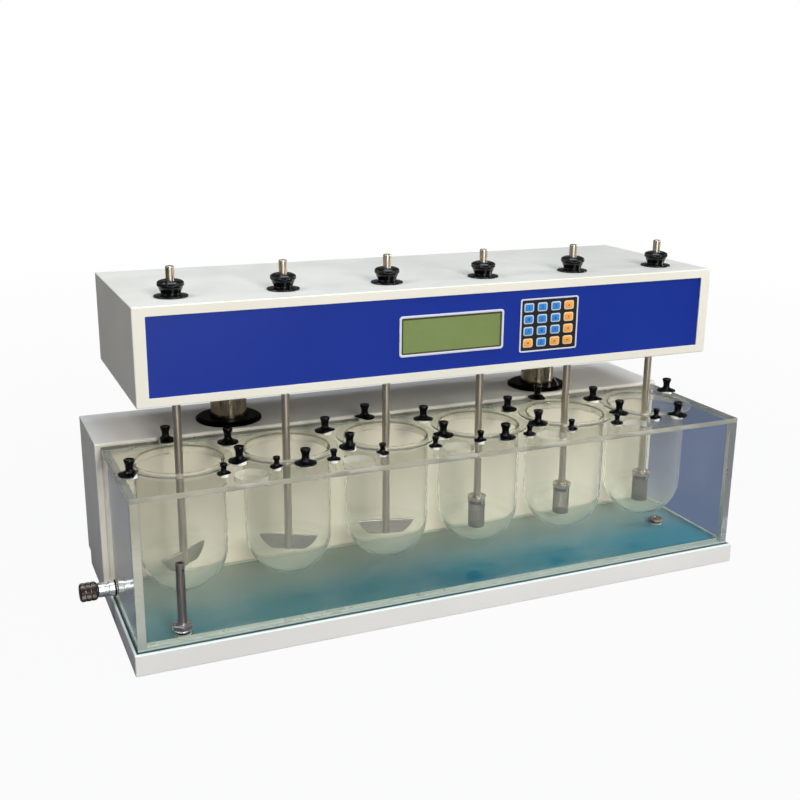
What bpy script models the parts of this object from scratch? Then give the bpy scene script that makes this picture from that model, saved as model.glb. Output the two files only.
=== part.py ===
"""Six-position tablet dissolution tester.

A white steel base carries a clear acrylic water bath and, behind it, a steel
housing.  Six glass vessels hang by their flanges in the bath's clear top plate,
each held by three turn-to-release cam clamps.  Two steel columns rise from a
crosshead inside the housing and carry the drive head, whose six spindles turn
three paddles and three baskets inside the vessels.

Frame: origin at the centre of the base's underside, +X to the right seen from
the front, the front faces -Y, +Z up.  Metres.
"""
import bpy
import bmesh
from math import sin, cos, pi, radians, sqrt
from mathutils import Matrix, Vector

MM = 0.001
GAP = 0.3 * MM                      # running and mating gap between pieces

# ---------------------------------------------------------------- base tray
BASE_HALF_X = 412 * MM
BASE_HALF_Y = 164.5 * MM
BASE_H = 26 * MM
SHEET = 2 * MM                      # folded steel sheet

# ------------------------------------------------------------- rear housing
HOUSE_X0 = -414 * MM
HOUSE_FRONT = 33.5 * MM
HOUSE_TOP = 212 * MM
INLET_X = 300 * MM                  # mains inlet on the back
INLET_Z = 70 * MM

# ---------------------------------------------------------------- water bath
TANK_HALF_X = 407 * MM
TANK_FRONT = -157.5 * MM
TANK_REAR = 33 * MM
TANK_WALL = 10 * MM
TANK_REAR_WALL = 8 * MM
TANK_FLOOR = 9 * MM
TANK_Z0 = BASE_H + GAP
PLATE_Z0 = 200 * MM
PLATE_TOP = 208 * MM

# ---------------------------------------------------------------- stations
PITCH = 132 * MM
ROD_Y = -53.5 * MM
STATION_X = [(i - 2.5) * PITCH for i in range(6)]
PORT_X = [(i - 2.0) * PITCH for i in range(5)]
PORT_Y = -129.5 * MM
PORT_R = 19.5 * MM

# ----------------------------------------------------------------- vessels
VESSEL_RI = 51 * MM
VESSEL_RO = 53.3 * MM
VESSEL_HOLE_R = 54 * MM
FLANGE_R = 63 * MM
FLANGE_T = 3 * MM
VESSEL_BOTTOM = 50.5 * MM           # inner bottom of the round end
VESSEL_SEG = 20

# ------------------------------------------------------------ vessel clamps
CLAMP_PCD_R = 73 * MM
CLAMP_DISC_R = 13.2 * MM
CLAMP_FLAT = 6.8 * MM
CLAMP_H = 18.5 * MM
# first clamp angle of each station's three (120 degrees apart)
CLAMP_START = [90, 30, 90, 30, 90, 30]
# heading of the cam's flat, in degrees about +Z, in the order a, b, c
CLAMP_FLAT_HEADING = [
    (170, -24, -54), (-62, 66, 66), (-155, -24, -153),
    (156, -112, 156), (0, 66, -149), (-114, -94, -160)]
PORT_CLAMP_DX = 31 * MM
PORT_CLAMP_Y = -126.5 * MM
PORT_CLAMP_HEADING = [(-69, -57), (-100, -165), (-100, -73), (66, 156), (66, -75)]

# --------------------------------------------------------------- drive head
HEAD_HALF_X = 384 * MM
HEAD_FRONT = -103.5 * MM
HEAD_REAR = 146.5 * MM
HEAD_Z0 = 290.5 * MM
HEAD_Z1 = 404 * MM
PANEL_HALF_X = 369.5 * MM
PANEL_Z0 = 301.0 * MM
PANEL_Z1 = 392.8 * MM
PANEL_SETBACK = 2.3 * MM

# ---------------------------------------------------------------- columns
COL_X = 233.5 * MM
COL_Y = 82.5 * MM
COL_R = 23.5 * MM
LIFT_TRAVEL = 150 * MM

# ------------------------------------------------------------ shafts, chucks
ROD_R = 4.88 * MM
BORE_R = 5.25 * MM
ROD_TOP = 439 * MM
PADDLE_Z0 = 76.5 * MM
PADDLE_H = 19 * MM
PADDLE_TOP_W = 74 * MM
PADDLE_BOTTOM_W = 42 * MM
PADDLE_T = 4 * MM
PADDLE_YAW = [35, -27, -14.5]
BASKET_Z0 = 67 * MM
BASKET_R = 11.1 * MM
BASKET_H = 37 * MM

# -------------------------------------------------------------- drain valve
VALVE_Y = -20 * MM
VALVE_Z = 45 * MM

# ------------------------------------------------------------ bath fittings
STANDPIPE = (-352 * MM, -135.5 * MM)
RETURN_FITTING = (352 * MM, -67 * MM)

for old in list(bpy.data.objects):
    bpy.data.objects.remove(old, do_unlink=True)
for old in list(bpy.data.collections):
    bpy.data.collections.remove(old)

scene = bpy.context.scene
parts = bpy.data.collections.new("tablet_dissolution_tester")
cutters = bpy.data.collections.new("cutters")
scene.collection.children.link(parts)
scene.collection.children.link(cutters)


# ------------------------------------------------------------------ helpers
def material(name, colour, rough, metal=0.0, alpha=1.0):
    m = bpy.data.materials.new(name)
    m.use_nodes = True
    b = m.node_tree.nodes["Principled BSDF"]
    b.inputs["Base Color"].default_value = (*colour, 1.0)
    b.inputs["Roughness"].default_value = rough
    b.inputs["Metallic"].default_value = metal
    b.inputs["Alpha"].default_value = alpha
    if alpha < 1.0:
        b.inputs["Transmission Weight"].default_value = 0.9
    return m


def link(ob, coll=None):
    for c in list(ob.users_collection):
        c.objects.unlink(ob)
    (coll or parts).objects.link(ob)
    return ob


def box(name, x0, x1, y0, y1, z0, z1, coll=None):
    """A box from its limits; the object's origin is the box's centre."""
    me = bpy.data.meshes.new(name)
    bm = bmesh.new()
    bmesh.ops.create_cube(bm, size=1.0)
    bmesh.ops.scale(bm, vec=(x1 - x0, y1 - y0, z1 - z0), verts=bm.verts)
    bm.to_mesh(me)
    bm.free()
    ob = bpy.data.objects.new(name, me)
    ob.location = ((x0 + x1) / 2, (y0 + y1) / 2, (z0 + z1) / 2)
    return link(ob, coll)


def cylinder(name, x, y, z0, z1, r, seg, coll=None, axis="Z", turn=0.0):
    me = bpy.data.meshes.new(name)
    bm = bmesh.new()
    bmesh.ops.create_cone(bm, cap_ends=True, segments=seg, radius1=r, radius2=r,
                          depth=z1 - z0)
    if turn:
        bmesh.ops.rotate(bm, matrix=Matrix.Rotation(turn, 3, "Z"), verts=bm.verts)
    if axis == "X":
        bmesh.ops.rotate(bm, matrix=Matrix.Rotation(pi / 2, 3, "Y"), verts=bm.verts)
    bm.to_mesh(me)
    bm.free()
    ob = bpy.data.objects.new(name, me)
    mid = (z0 + z1) / 2
    ob.location = (mid, x, y) if axis == "X" else (x, y, mid)
    return link(ob, coll)


def turned_mesh(name, profile, seg, closed):
    """Mesh of a profile turned about Z.  profile: (radius, z) down the outer side."""
    me = bpy.data.meshes.new(name + "_profile")
    n = len(profile)
    edges = [(i, i + 1) for i in range(n - 1)]
    if closed:
        edges.append((n - 1, 0))
    me.from_pydata([(r, 0.0, z) for r, z in profile], edges, [])
    ob = bpy.data.objects.new(name + "_profile", me)
    link(ob, cutters)
    sc = ob.modifiers.new("turn", "SCREW")
    sc.steps = seg
    sc.render_steps = seg
    sc.use_merge_vertices = True
    sc.merge_threshold = 0.00005
    sc.use_normal_calculate = False
    bpy.context.view_layer.update()
    dg = bpy.context.evaluated_depsgraph_get()
    out = bpy.data.meshes.new_from_object(ob.evaluated_get(dg))
    out.name = name
    bpy.data.objects.remove(ob, do_unlink=True)
    bm = bmesh.new()
    bm.from_mesh(out)
    bmesh.ops.remove_doubles(bm, verts=bm.verts, dist=0.00002)
    bmesh.ops.recalc_face_normals(bm, faces=bm.faces)
    bm.to_mesh(out)
    bm.free()
    return out


def place(name, mesh, loc, yaw=0.0, mat=None, angle=40):
    ob = bpy.data.objects.new(name, mesh)
    ob.location = loc
    ob.rotation_euler = (0, 0, yaw)
    link(ob)
    if mat:
        mesh.materials.clear()
        mesh.materials.append(mat)
    mesh.shade_smooth()
    mesh.set_sharp_from_angle(angle=radians(angle))
    return ob


def boolean(ob, tool, op="DIFFERENCE"):
    md = ob.modifiers.new(op.lower(), "BOOLEAN")
    md.operation = op
    md.solver = "EXACT"
    md.object = tool
    tool.hide_render = True
    tool.display_type = "WIRE"
    link(tool, cutters)
    return md


def join_cutters(name, obs):
    """Several cutters that don't touch each other, as one cutter object."""
    bm = bmesh.new()
    bpy.context.view_layer.update()
    for o in obs:
        tmp = o.data.copy()
        tmp.transform(o.matrix_world)
        bm.from_mesh(tmp)
        bpy.data.meshes.remove(tmp)
        bpy.data.objects.remove(o, do_unlink=True)
    me = bpy.data.meshes.new(name)
    bm.to_mesh(me)
    bm.free()
    return link(bpy.data.objects.new(name, me), cutters)


def paint(ob, mat):
    ob.data.materials.clear()
    ob.data.materials.append(mat)
    return ob


def baked(ob):
    """The object's mesh with its modifiers applied."""
    bpy.context.view_layer.update()
    dg = bpy.context.evaluated_depsgraph_get()
    me = bpy.data.meshes.new_from_object(ob.evaluated_get(dg))
    bpy.data.objects.remove(ob, do_unlink=True)
    return me


# ---------------------------------------------------------------- materials
M_WHITE = material("white_enamel", (0.86, 0.85, 0.81), 0.35)
M_CLEAR = material("clear_acrylic", (0.80, 0.88, 0.85), 0.08, 0.0, 0.30)
M_GLASS = material("vessel_glass", (0.90, 0.94, 0.90), 0.03, 0.0, 0.25)
M_BLACK = material("black_plastic", (0.012, 0.012, 0.013), 0.28)
M_STEEL = material("stainless_steel", (0.62, 0.60, 0.57), 0.28, 1.0)
M_CHROME = material("chromed_brass", (0.80, 0.80, 0.80), 0.12, 1.0)
M_BRONZE = material("dark_bronze", (0.17, 0.13, 0.11), 0.35, 0.8)
M_BLUE = material("blue_film", (0.02, 0.05, 0.34), 0.40)
M_LCD = material("olive_lcd", (0.24, 0.30, 0.11), 0.30)
M_KEYS = material("keypad_film", (0.03, 0.12, 0.40), 0.40)


# ---------------------------------------------------------------- base tray
base = box("base_tray", -BASE_HALF_X, BASE_HALF_X, -BASE_HALF_Y, BASE_HALF_Y, 0, BASE_H)
paint(base, M_WHITE)
inner = box("base_hollow", -BASE_HALF_X + SHEET, BASE_HALF_X - SHEET,
            -BASE_HALF_Y + SHEET, BASE_HALF_Y - SHEET, SHEET, BASE_H - SHEET)
boolean(base, inner)
vents = [cylinder("base_vent_%d" % i, x, 120 * MM, -5 * MM, SHEET + 5 * MM, 12 * MM, 12)
         for i, x in enumerate((-330 * MM, 330 * MM))]
boolean(base, join_cutters("base_vents", vents))

# ------------------------------------------------------------- rear housing
house = box("rear_housing", HOUSE_X0, BASE_HALF_X, HOUSE_FRONT, BASE_HALF_Y,
            BASE_H + GAP, HOUSE_TOP)
paint(house, M_WHITE)
boolean(house, box("house_hollow", HOUSE_X0 + SHEET, BASE_HALF_X - SHEET,
                   HOUSE_FRONT + SHEET, BASE_HALF_Y - SHEET, 0, HOUSE_TOP - SHEET))
COLLAR_R = 43.0 * MM
GUIDE_NECK_R = 30 * MM
holes = [cylinder("house_hole_%d" % i, x, COL_Y, HOUSE_TOP - 10 * MM, HOUSE_TOP + 5 * MM,
                  GUIDE_NECK_R + GAP, 20)
         for i, x in enumerate((-COL_X, COL_X))]
boolean(house, join_cutters("house_holes", holes))
# mains inlet: an open-fronted socket cup let into the back sheet
socket_box = box("inlet_cup", INLET_X - 16 * MM, INLET_X + 16 * MM,
                 BASE_HALF_Y - 24 * MM, BASE_HALF_Y - 0.5 * MM,
                 INLET_Z - 12 * MM, INLET_Z + 12 * MM)
boolean(house, socket_box, "UNION")
boolean(house, box("inlet_mouth", INLET_X - 12.5 * MM, INLET_X + 12.5 * MM,
                   BASE_HALF_Y - 19 * MM, BASE_HALF_Y + 5 * MM,
                   INLET_Z - 8.5 * MM, INLET_Z + 8.5 * MM))

# --------------------------------------- column guide with its two collars
guide = box("column_guide", -COL_X - 45 * MM, COL_X + 45 * MM, COL_Y - 38 * MM, COL_Y + 38 * MM,
            HOUSE_TOP - SHEET - 8 * MM, HOUSE_TOP - SHEET - GAP)
paint(guide, M_BLACK)
for i, x in enumerate((-COL_X, COL_X)):
    boolean(guide, cylinder("guide_neck_%d" % i, x, COL_Y, HOUSE_TOP - SHEET - 4 * MM,
                            HOUSE_TOP + 3 * MM, GUIDE_NECK_R, 20), "UNION")
    flange = place("guide_flange_%d" % i, turned_mesh(
        "guide_flange_%d" % i,
        [(0, HOUSE_TOP + 5.3 * MM), (COLLAR_R - 4 * MM, HOUSE_TOP + 5.3 * MM),
         (COLLAR_R, HOUSE_TOP + 2.5 * MM), (COLLAR_R, HOUSE_TOP + GAP), (0, HOUSE_TOP + GAP)],
        20, False), (x, COL_Y, 0))
    boolean(guide, flange, "UNION")
    boolean(guide, cylinder("guide_bore_%d" % i, x, COL_Y, HOUSE_TOP - 20 * MM,
                            HOUSE_TOP + 15 * MM, COL_R + 0.5 * MM, 20))

# ------------------------------------------------------- crosshead, columns
lift = box("lift_frame", -COL_X - 40 * MM, COL_X + 40 * MM, COL_Y - 20 * MM, COL_Y + 20 * MM,
           BASE_H + GAP, BASE_H + 20 * MM)
paint(lift, M_STEEL)
for i, x in enumerate((-COL_X, COL_X)):
    boolean(lift, cylinder("column_%d" % i, x, COL_Y, BASE_H + 12 * MM,
                           HEAD_Z1 - SHEET - GAP, COL_R, 20), "UNION")

# ---------------------------------------------------------------- water bath
tank = box("water_tank", -TANK_HALF_X, TANK_HALF_X, TANK_FRONT, TANK_REAR,
           TANK_Z0, PLATE_Z0 - GAP)
paint(tank, M_CLEAR)
boolean(tank, box("tank_hollow", -TANK_HALF_X + TANK_WALL, TANK_HALF_X - TANK_WALL,
                  TANK_FRONT + TANK_WALL, TANK_REAR - TANK_REAR_WALL,
                  TANK_Z0 + TANK_FLOOR, PLATE_Z0 + 20 * MM))
FOOT_R = 11 * MM
RETURN_R = 11 * MM
tank_holes = [
    cylinder("hole_valve", VALVE_Y, VALVE_Z, -TANK_HALF_X - 5 * MM,
             -TANK_HALF_X + TANK_WALL + 5 * MM, 6.5 * MM, 12, axis="X"),
    cylinder("hole_standpipe", *STANDPIPE, TANK_Z0 - 5 * MM, TANK_Z0 + TANK_FLOOR + 5 * MM,
             FOOT_R + 0.5 * MM, 16),
    cylinder("hole_return", *RETURN_FITTING, TANK_Z0 - 5 * MM, TANK_Z0 + TANK_FLOOR + 5 * MM,
             RETURN_R - 3 * MM + 0.5 * MM, 16)]
boolean(tank, join_cutters("tank_holes", tank_holes))

# ------------------------------------------------------------- vessel plate
plate = box("vessel_plate", -TANK_HALF_X, TANK_HALF_X, TANK_FRONT, TANK_REAR,
            PLATE_Z0, PLATE_TOP)
paint(plate, M_CLEAR)


def clamp_spots():
    """(name, x, y, heading) of each of the vessel clamps."""
    out = []
    for i, sx in enumerate(STATION_X):
        for k in range(3):
            a = radians(CLAMP_START[i] + 120 * k)
            out.append(("vessel_clamp_%d%s" % (i + 1, "abc"[k]),
                        sx + CLAMP_PCD_R * cos(a), ROD_Y + CLAMP_PCD_R * sin(a),
                        radians(CLAMP_FLAT_HEADING[i][k])))
    return out


def port_clamp_spots():
    out = []
    for i, px in enumerate(PORT_X):
        for k, side in enumerate((-1, 1)):
            out.append(("port_clamp_%d%s" % (i + 1, "ab"[k]),
                        px + side * PORT_CLAMP_DX, PORT_CLAMP_Y,
                        radians(PORT_CLAMP_HEADING[i][k])))
    return out


STUD_R = 2.5 * MM
PORT_STUD_R = 2.0 * MM
cut = [cylinder("plate_vessel_%d" % i, x, ROD_Y, PLATE_Z0 - 5 * MM, PLATE_TOP + 5 * MM,
                VESSEL_HOLE_R, VESSEL_SEG) for i, x in enumerate(STATION_X)]
cut += [cylinder("plate_port_%d" % i, x, PORT_Y, PLATE_Z0 - 5 * MM, PLATE_TOP + 5 * MM,
                 PORT_R, 12) for i, x in enumerate(PORT_X)]
cut += [cylinder("plate_" + n, x, y, PLATE_Z0 - 5 * MM, PLATE_TOP + 5 * MM,
                 STUD_R + 0.5 * MM, 8) for n, x, y, h in clamp_spots()]
cut += [cylinder("plate_" + n, x, y, PLATE_Z0 - 5 * MM, PLATE_TOP + 5 * MM,
                 PORT_STUD_R + 0.5 * MM, 8) for n, x, y, h in port_clamp_spots()]
boolean(plate, join_cutters("plate_holes", cut))

# ------------------------------------------------------------------ vessels
z_top = PLATE_TOP + GAP + FLANGE_T
z_c = VESSEL_BOTTOM + VESSEL_RI
ARC = 4
profile = [(VESSEL_RI, z_top), (FLANGE_R, z_top), (FLANGE_R, PLATE_TOP + GAP),
           (VESSEL_RO, PLATE_TOP + GAP), (VESSEL_RO, z_c)]
for k in range(1, ARC):
    a = k * pi / 2 / ARC
    profile.append((VESSEL_RO * cos(a), z_c - VESSEL_RO * sin(a)))
profile.append((0.0, z_c - VESSEL_RO))
profile.append((0.0, z_c - VESSEL_RI))
for k in range(ARC - 1, 0, -1):
    a = k * pi / 2 / ARC
    profile.append((VESSEL_RI * cos(a), z_c - VESSEL_RI * sin(a)))
profile.append((VESSEL_RI, z_c))
# split at the axis into the outer and the inner skin, joined along the rim
vessel_mesh = turned_mesh("vessel", profile, VESSEL_SEG, True)
bm = bmesh.new()
bm.from_mesh(vessel_mesh)
loose = [e for e in bm.edges if len(e.link_faces) == 0]
bmesh.ops.delete(bm, geom=loose, context="EDGES")
bmesh.ops.recalc_face_normals(bm, faces=bm.faces)
bm.to_mesh(vessel_mesh)
bm.free()
for i, x in enumerate(STATION_X):
    place("vessel_%d" % (i + 1), vessel_mesh, (x, ROD_Y, 0), mat=M_GLASS)


# ------------------------------------------------------------------- clamps
def clamp_mesh(name, disc_r, flat, spacer_r, stud_r, nut_r, knob_r, neck_r, height, seg):
    """Cam clamp about its own axis, z = 0 at the plate's upper face."""
    d0 = FLANGE_T + 2 * GAP
    t = -(PLATE_TOP - PLATE_Z0)
    prof = [(0, d0 + height), (knob_r, d0 + height - 0.6 * MM),
            (neck_r, d0 + height * 0.62), (neck_r, d0 + height * 0.36),
            (disc_r, d0 + 1.8 * MM), (disc_r, d0),
            (spacer_r, d0), (spacer_r, GAP), (stud_r, GAP), (stud_r, t - GAP),
            (nut_r, t - GAP), (nut_r, t - 3.2 * MM), (0, t - 3.2 * MM)]
    me = turned_mesh(name, prof, seg, False)
    ob = bpy.data.objects.new(name + "_blank", me)
    link(ob)
    cutter = box(name + "_flat", flat, flat + 3 * disc_r, -2 * disc_r, 2 * disc_r,
                 d0 - 0.15 * MM, d0 + height * 0.36)
    boolean(ob, cutter)
    return baked(ob)


big = clamp_mesh("vessel_clamp", CLAMP_DISC_R, CLAMP_FLAT, 6.3 * MM, STUD_R, 3.4 * MM,
                 6.3 * MM, 4.8 * MM, CLAMP_H, 10)
for n, x, y, h in clamp_spots():
    place(n, big, (x, y, PLATE_TOP), h, M_BLACK)
small = clamp_mesh("port_clamp", 8.1 * MM, 4.2 * MM, 3.9 * MM, PORT_STUD_R, 3.0 * MM,
                   4.3 * MM, 3.3 * MM, 13 * MM, 8)
for n, x, y, h in port_clamp_spots():
    place(n, small, (x, y, PLATE_TOP), h, M_BLACK)

# -------------------------------------------------------------- drain valve
wall_out = -TANK_HALF_X
wall_in = -TANK_HALF_X + TANK_WALL


def turned_x(name, profile, seg, loc, mat, turn=0.0, closed=False):
    """A turned piece lying along X: profile z runs along +X."""
    me = turned_mesh(name, profile, seg, closed)
    if turn:
        me.transform(Matrix.Rotation(turn, 4, "Z"))
    ob = place(name, me, loc, 0, mat)
    ob.rotation_euler = (0, pi / 2, 0)
    return ob


# along +X from the valve's outer end: bored body, shank through the wall, inner nut
turned_x("drain_valve_body",
         [(0, 25 * MM), (6.0 * MM, 25 * MM), (6.0 * MM, 17 * MM), (8.5 * MM, 17 * MM),
          (8.5 * MM, 10.4 * MM), (5.9 * MM, 10.4 * MM), (5.9 * MM, -GAP),
          (9.6 * MM, -GAP), (9.6 * MM, -19 * MM), (8.0 * MM, -22 * MM),
          (4.5 * MM, -22 * MM), (4.5 * MM, -8 * MM), (0, -8 * MM)],
         12, (wall_out, VALVE_Y, VALVE_Z), M_CHROME)
turned_x("drain_valve_knob",
         [(0, -9 * MM), (4.0 * MM, -9 * MM), (4.0 * MM, -22.4 * MM), (9.8 * MM, -22.4 * MM),
          (11.4 * MM, -24.4 * MM), (11.4 * MM, -41 * MM), (9.6 * MM, -43 * MM), (0, -43 * MM)],
         14, (wall_out, VALVE_Y, VALVE_Z), M_BRONZE)

# ------------------------------------------------------------ bath fittings
floor_top = TANK_Z0 + TANK_FLOOR
place("standpipe", turned_mesh("standpipe", [
    (3.6 * MM, 117 * MM), (5.2 * MM, 117 * MM), (5.2 * MM, floor_top + 5 * MM),
    (8.0 * MM, floor_top + 4 * MM), (FOOT_R, floor_top + 3.5 * MM), (FOOT_R, TANK_Z0 + GAP),
    (3.6 * MM, TANK_Z0 + GAP)], 12, True), (*STANDPIPE, 0), 0, M_STEEL)
place("bath_return_fitting", turned_mesh("bath_return_fitting", [
    (5.0 * MM, floor_top + 3.5 * MM), (9.0 * MM, floor_top + 3.5 * MM),
    (RETURN_R, floor_top + 2.0 * MM), (RETURN_R, floor_top + GAP),
    (RETURN_R - 3 * MM, floor_top + GAP), (RETURN_R - 3 * MM, TANK_Z0 + GAP),
    (5.0 * MM, TANK_Z0 + GAP)], 14, True), (*RETURN_FITTING, 0), 0, M_STEEL)

# --------------------------------------------------------------- drive head
head = box("head_casing", -HEAD_HALF_X, HEAD_HALF_X, HEAD_FRONT, HEAD_REAR, HEAD_Z0, HEAD_Z1)
paint(head, M_WHITE)
boolean(head, box("head_hollow", -HEAD_HALF_X + SHEET, HEAD_HALF_X - SHEET,
                  HEAD_FRONT + SHEET, HEAD_REAR - SHEET, HEAD_Z0 + SHEET, HEAD_Z1 - SHEET))
boolean(head, box("head_window", -PANEL_HALF_X, PANEL_HALF_X, HEAD_FRONT - 10 * MM,
                  HEAD_FRONT + 8 * MM, PANEL_Z0, PANEL_Z1))
SLEEVE_R = 8.5 * MM
cut = [cylinder("head_spindle_%d" % i, x, ROD_Y, HEAD_Z0 - 5 * MM, HEAD_Z1 + 5 * MM,
                SLEEVE_R + 0.4 * MM, 12) for i, x in enumerate(STATION_X)]
cut += [cylinder("head_column_%d" % i, x, COL_Y, HEAD_Z0 - 5 * MM, HEAD_Z0 + 10 * MM,
                 COL_R + 0.4 * MM, 20) for i, x in enumerate((-COL_X, COL_X))]
boolean(head, join_cutters("head_holes", cut))

panel_face = HEAD_FRONT + PANEL_SETBACK
paint(box("control_panel", -PANEL_HALF_X - 7 * MM, PANEL_HALF_X + 7 * MM,
          panel_face, panel_face + 3 * MM, PANEL_Z0 - 5 * MM, PANEL_Z1 + 5 * MM), M_BLUE)
face = panel_face - GAP
paint(box("display", -70 * MM, 71.3 * MM, face - 1.6 * MM, face, 321 * MM, 371.2 * MM), M_LCD)
paint(box("keypad", 94.9 * MM, 179 * MM, face - 1.2 * MM, face, 312.8 * MM, 381.3 * MM), M_KEYS)

# ------------------------------------------------------- chucks and spindles
PULLEY_Z = 330 * MM - HEAD_Z1
chuck_mesh = turned_mesh("chuck", [
    (BORE_R, 17.2 * MM), (11.5 * MM, 19.4 * MM), (15.2 * MM, 16.6 * MM), (14.6 * MM, 13.0 * MM),
    (11.0 * MM, 4.6 * MM), (19.6 * MM, 1.9 * MM), (19.6 * MM, GAP),
    (SLEEVE_R, GAP), (SLEEVE_R, PULLEY_Z + 12 * MM), (20 * MM, PULLEY_Z + 12 * MM),
    (20 * MM, PULLEY_Z), (SLEEVE_R, PULLEY_Z), (SLEEVE_R, HEAD_Z0 - HEAD_Z1 - 1.5 * MM),
    (BORE_R, HEAD_Z0 - HEAD_Z1 - 1.5 * MM)], 12, True)
for i, x in enumerate(STATION_X):
    place("chuck_spindle_%d" % (i + 1), chuck_mesh, (x, ROD_Y, HEAD_Z1), 0, M_BLACK)


# ------------------------------------------------------------------- shafts
def paddle_outline():
    """Blade outline: two straight chords joined by arcs of a 83 mm circle."""
    r = 41.5 * MM
    ht, hb = PADDLE_TOP_W / 2, PADDLE_BOTTOM_W / 2
    zt = -sqrt(r * r - ht * ht)
    zb = -sqrt(r * r - hb * hb)
    pts = []
    n = 4
    for k in range(n + 1):
        z = zt + (zb - zt) * k / n
        pts.append((sqrt(r * r - z * z), z))
    s = PADDLE_H / (zt - zb)
    right = [(x, PADDLE_H + (z - zt) * s) for x, z in pts]
    left = [(-x, z) for x, z in reversed(right)]
    return right + left


def paddle_mesh():
    cu = bpy.data.curves.new("paddle_blade", "CURVE")
    cu.dimensions = "2D"
    cu.fill_mode = "BOTH"
    cu.extrude = PADDLE_T / 2
    cu.render_resolution_u = 0
    sp = cu.splines.new("POLY")
    pts = paddle_outline()
    sp.points.add(len(pts) - 1)
    for p, (x, z) in zip(sp.points, pts):
        p.co = (x, z, 0, 1)
    sp.use_cyclic_u = True
    ob = bpy.data.objects.new("paddle_blade", cu)
    link(ob, cutters)
    ob.rotation_euler = (pi / 2, 0, 0)
    bpy.context.view_layer.update()
    dg = bpy.context.evaluated_depsgraph_get()
    me = bpy.data.meshes.new_from_object(ob.evaluated_get(dg))
    me.transform(ob.matrix_world)
    bpy.data.objects.remove(ob, do_unlink=True)
    bm = bmesh.new()
    bm.from_mesh(me)
    bmesh.ops.remove_doubles(bm, verts=bm.verts, dist=0.00001)
    bmesh.ops.recalc_face_normals(bm, faces=bm.faces)
    bm.to_mesh(me)
    bm.free()
    blade = bpy.data.objects.new("paddle_blank", me)
    link(blade)
    rod = cylinder("paddle_rod", 0, 0, 0.5 * MM, ROD_TOP - PADDLE_Z0, ROD_R, 12)
    boolean(blade, rod, "UNION")
    return baked(blade)


paddle = paddle_mesh()
for i in range(3):
    place("paddle_shaft_%d" % (i + 1), paddle, (STATION_X[i], ROD_Y, PADDLE_Z0),
          radians(PADDLE_YAW[i]), M_STEEL, 30)

basket = turned_mesh("basket_shaft", [
    (0, ROD_TOP - BASKET_Z0), (ROD_R, ROD_TOP - BASKET_Z0), (ROD_R, BASKET_H + 6.5 * MM),
    (12.5 * MM, BASKET_H + 5 * MM), (12.5 * MM, BASKET_H), (BASKET_R, BASKET_H),
    (BASKET_R, 0), (0, 0)], 12, False)
for i in range(3, 6):
    place("basket_shaft_%d" % (i + 1), basket, (STATION_X[i], ROD_Y, BASKET_Z0), 0, M_STEEL)
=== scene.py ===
"""Looks of the tablet dissolution tester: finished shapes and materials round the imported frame."""

from math import sin, cos, pi, radians, sqrt, atan2, hypot

import bpy
import bmesh
from mathutils import Matrix, Vector


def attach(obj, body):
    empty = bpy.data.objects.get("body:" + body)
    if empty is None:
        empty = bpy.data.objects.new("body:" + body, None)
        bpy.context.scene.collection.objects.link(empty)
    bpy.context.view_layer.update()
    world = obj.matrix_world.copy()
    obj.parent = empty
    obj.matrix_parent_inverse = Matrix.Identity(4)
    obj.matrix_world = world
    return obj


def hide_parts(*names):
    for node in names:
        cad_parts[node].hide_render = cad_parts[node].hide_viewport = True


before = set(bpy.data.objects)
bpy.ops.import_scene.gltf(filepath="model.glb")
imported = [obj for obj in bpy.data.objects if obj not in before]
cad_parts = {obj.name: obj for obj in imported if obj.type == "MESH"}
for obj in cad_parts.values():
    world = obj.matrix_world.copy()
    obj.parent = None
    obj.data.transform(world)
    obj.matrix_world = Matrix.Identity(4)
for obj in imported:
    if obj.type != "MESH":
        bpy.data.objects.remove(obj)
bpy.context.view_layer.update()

MM = 0.001
scene = bpy.context.scene

# ------------------------------------------------------------------ dimensions
BASE_X, BASE_Y, BASE_H = 412 * MM, 164.5 * MM, 26 * MM
GAP = 0.3 * MM
HOUSE_X0, HOUSE_FRONT, HOUSE_TOP = -414 * MM, 33.5 * MM, 212 * MM
TANK_X, TANK_FRONT, TANK_REAR = 407 * MM, -157.5 * MM, 33 * MM
TANK_Z0, TANK_Z1 = 26.3 * MM, 201.7 * MM
FLOOR_TOP = 35.3 * MM
PLATE_Z0, PLATE_Z1 = 200 * MM, 208 * MM
REBATE = 2 * MM                     # step round the plate's underside, over the walls
PITCH = 132 * MM
ROD_Y = -53.5 * MM
STATION_X = [(i - 2.5) * PITCH for i in range(6)]
PORT_X = [(i - 2.0) * PITCH for i in range(5)]
PORT_Y = -129.5 * MM
HEAD_X, HEAD_FRONT, HEAD_REAR = 384 * MM, -103.5 * MM, 146.5 * MM
HEAD_Z0, HEAD_Z1 = 290.5 * MM, 404 * MM
WIN_X, WIN_Z0, WIN_Z1 = 369.5 * MM, 301.0 * MM, 392.8 * MM
COL_X, COL_Y, COL_R = 233.5 * MM, 82.5 * MM, 23.5 * MM
CLAMP_START = [90, 30, 90, 30, 90, 30]
CLAMP_HEADING = [(170, -24, -54), (-62, 66, 66), (-155, -24, -153),
                 (156, -112, 156), (0, 66, -149), (-114, -94, -160)]
PORT_HEADING = [(-69, -57), (-100, -165), (-100, -73), (66, 156), (66, -75)]
PADDLE_YAW = [35, -27, -14.5]
STANDPIPE = (-352 * MM, -135.5 * MM)
RETURN_FITTING = (352 * MM, -67 * MM)
VALVE_Y, VALVE_Z = -20 * MM, 45 * MM


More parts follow.
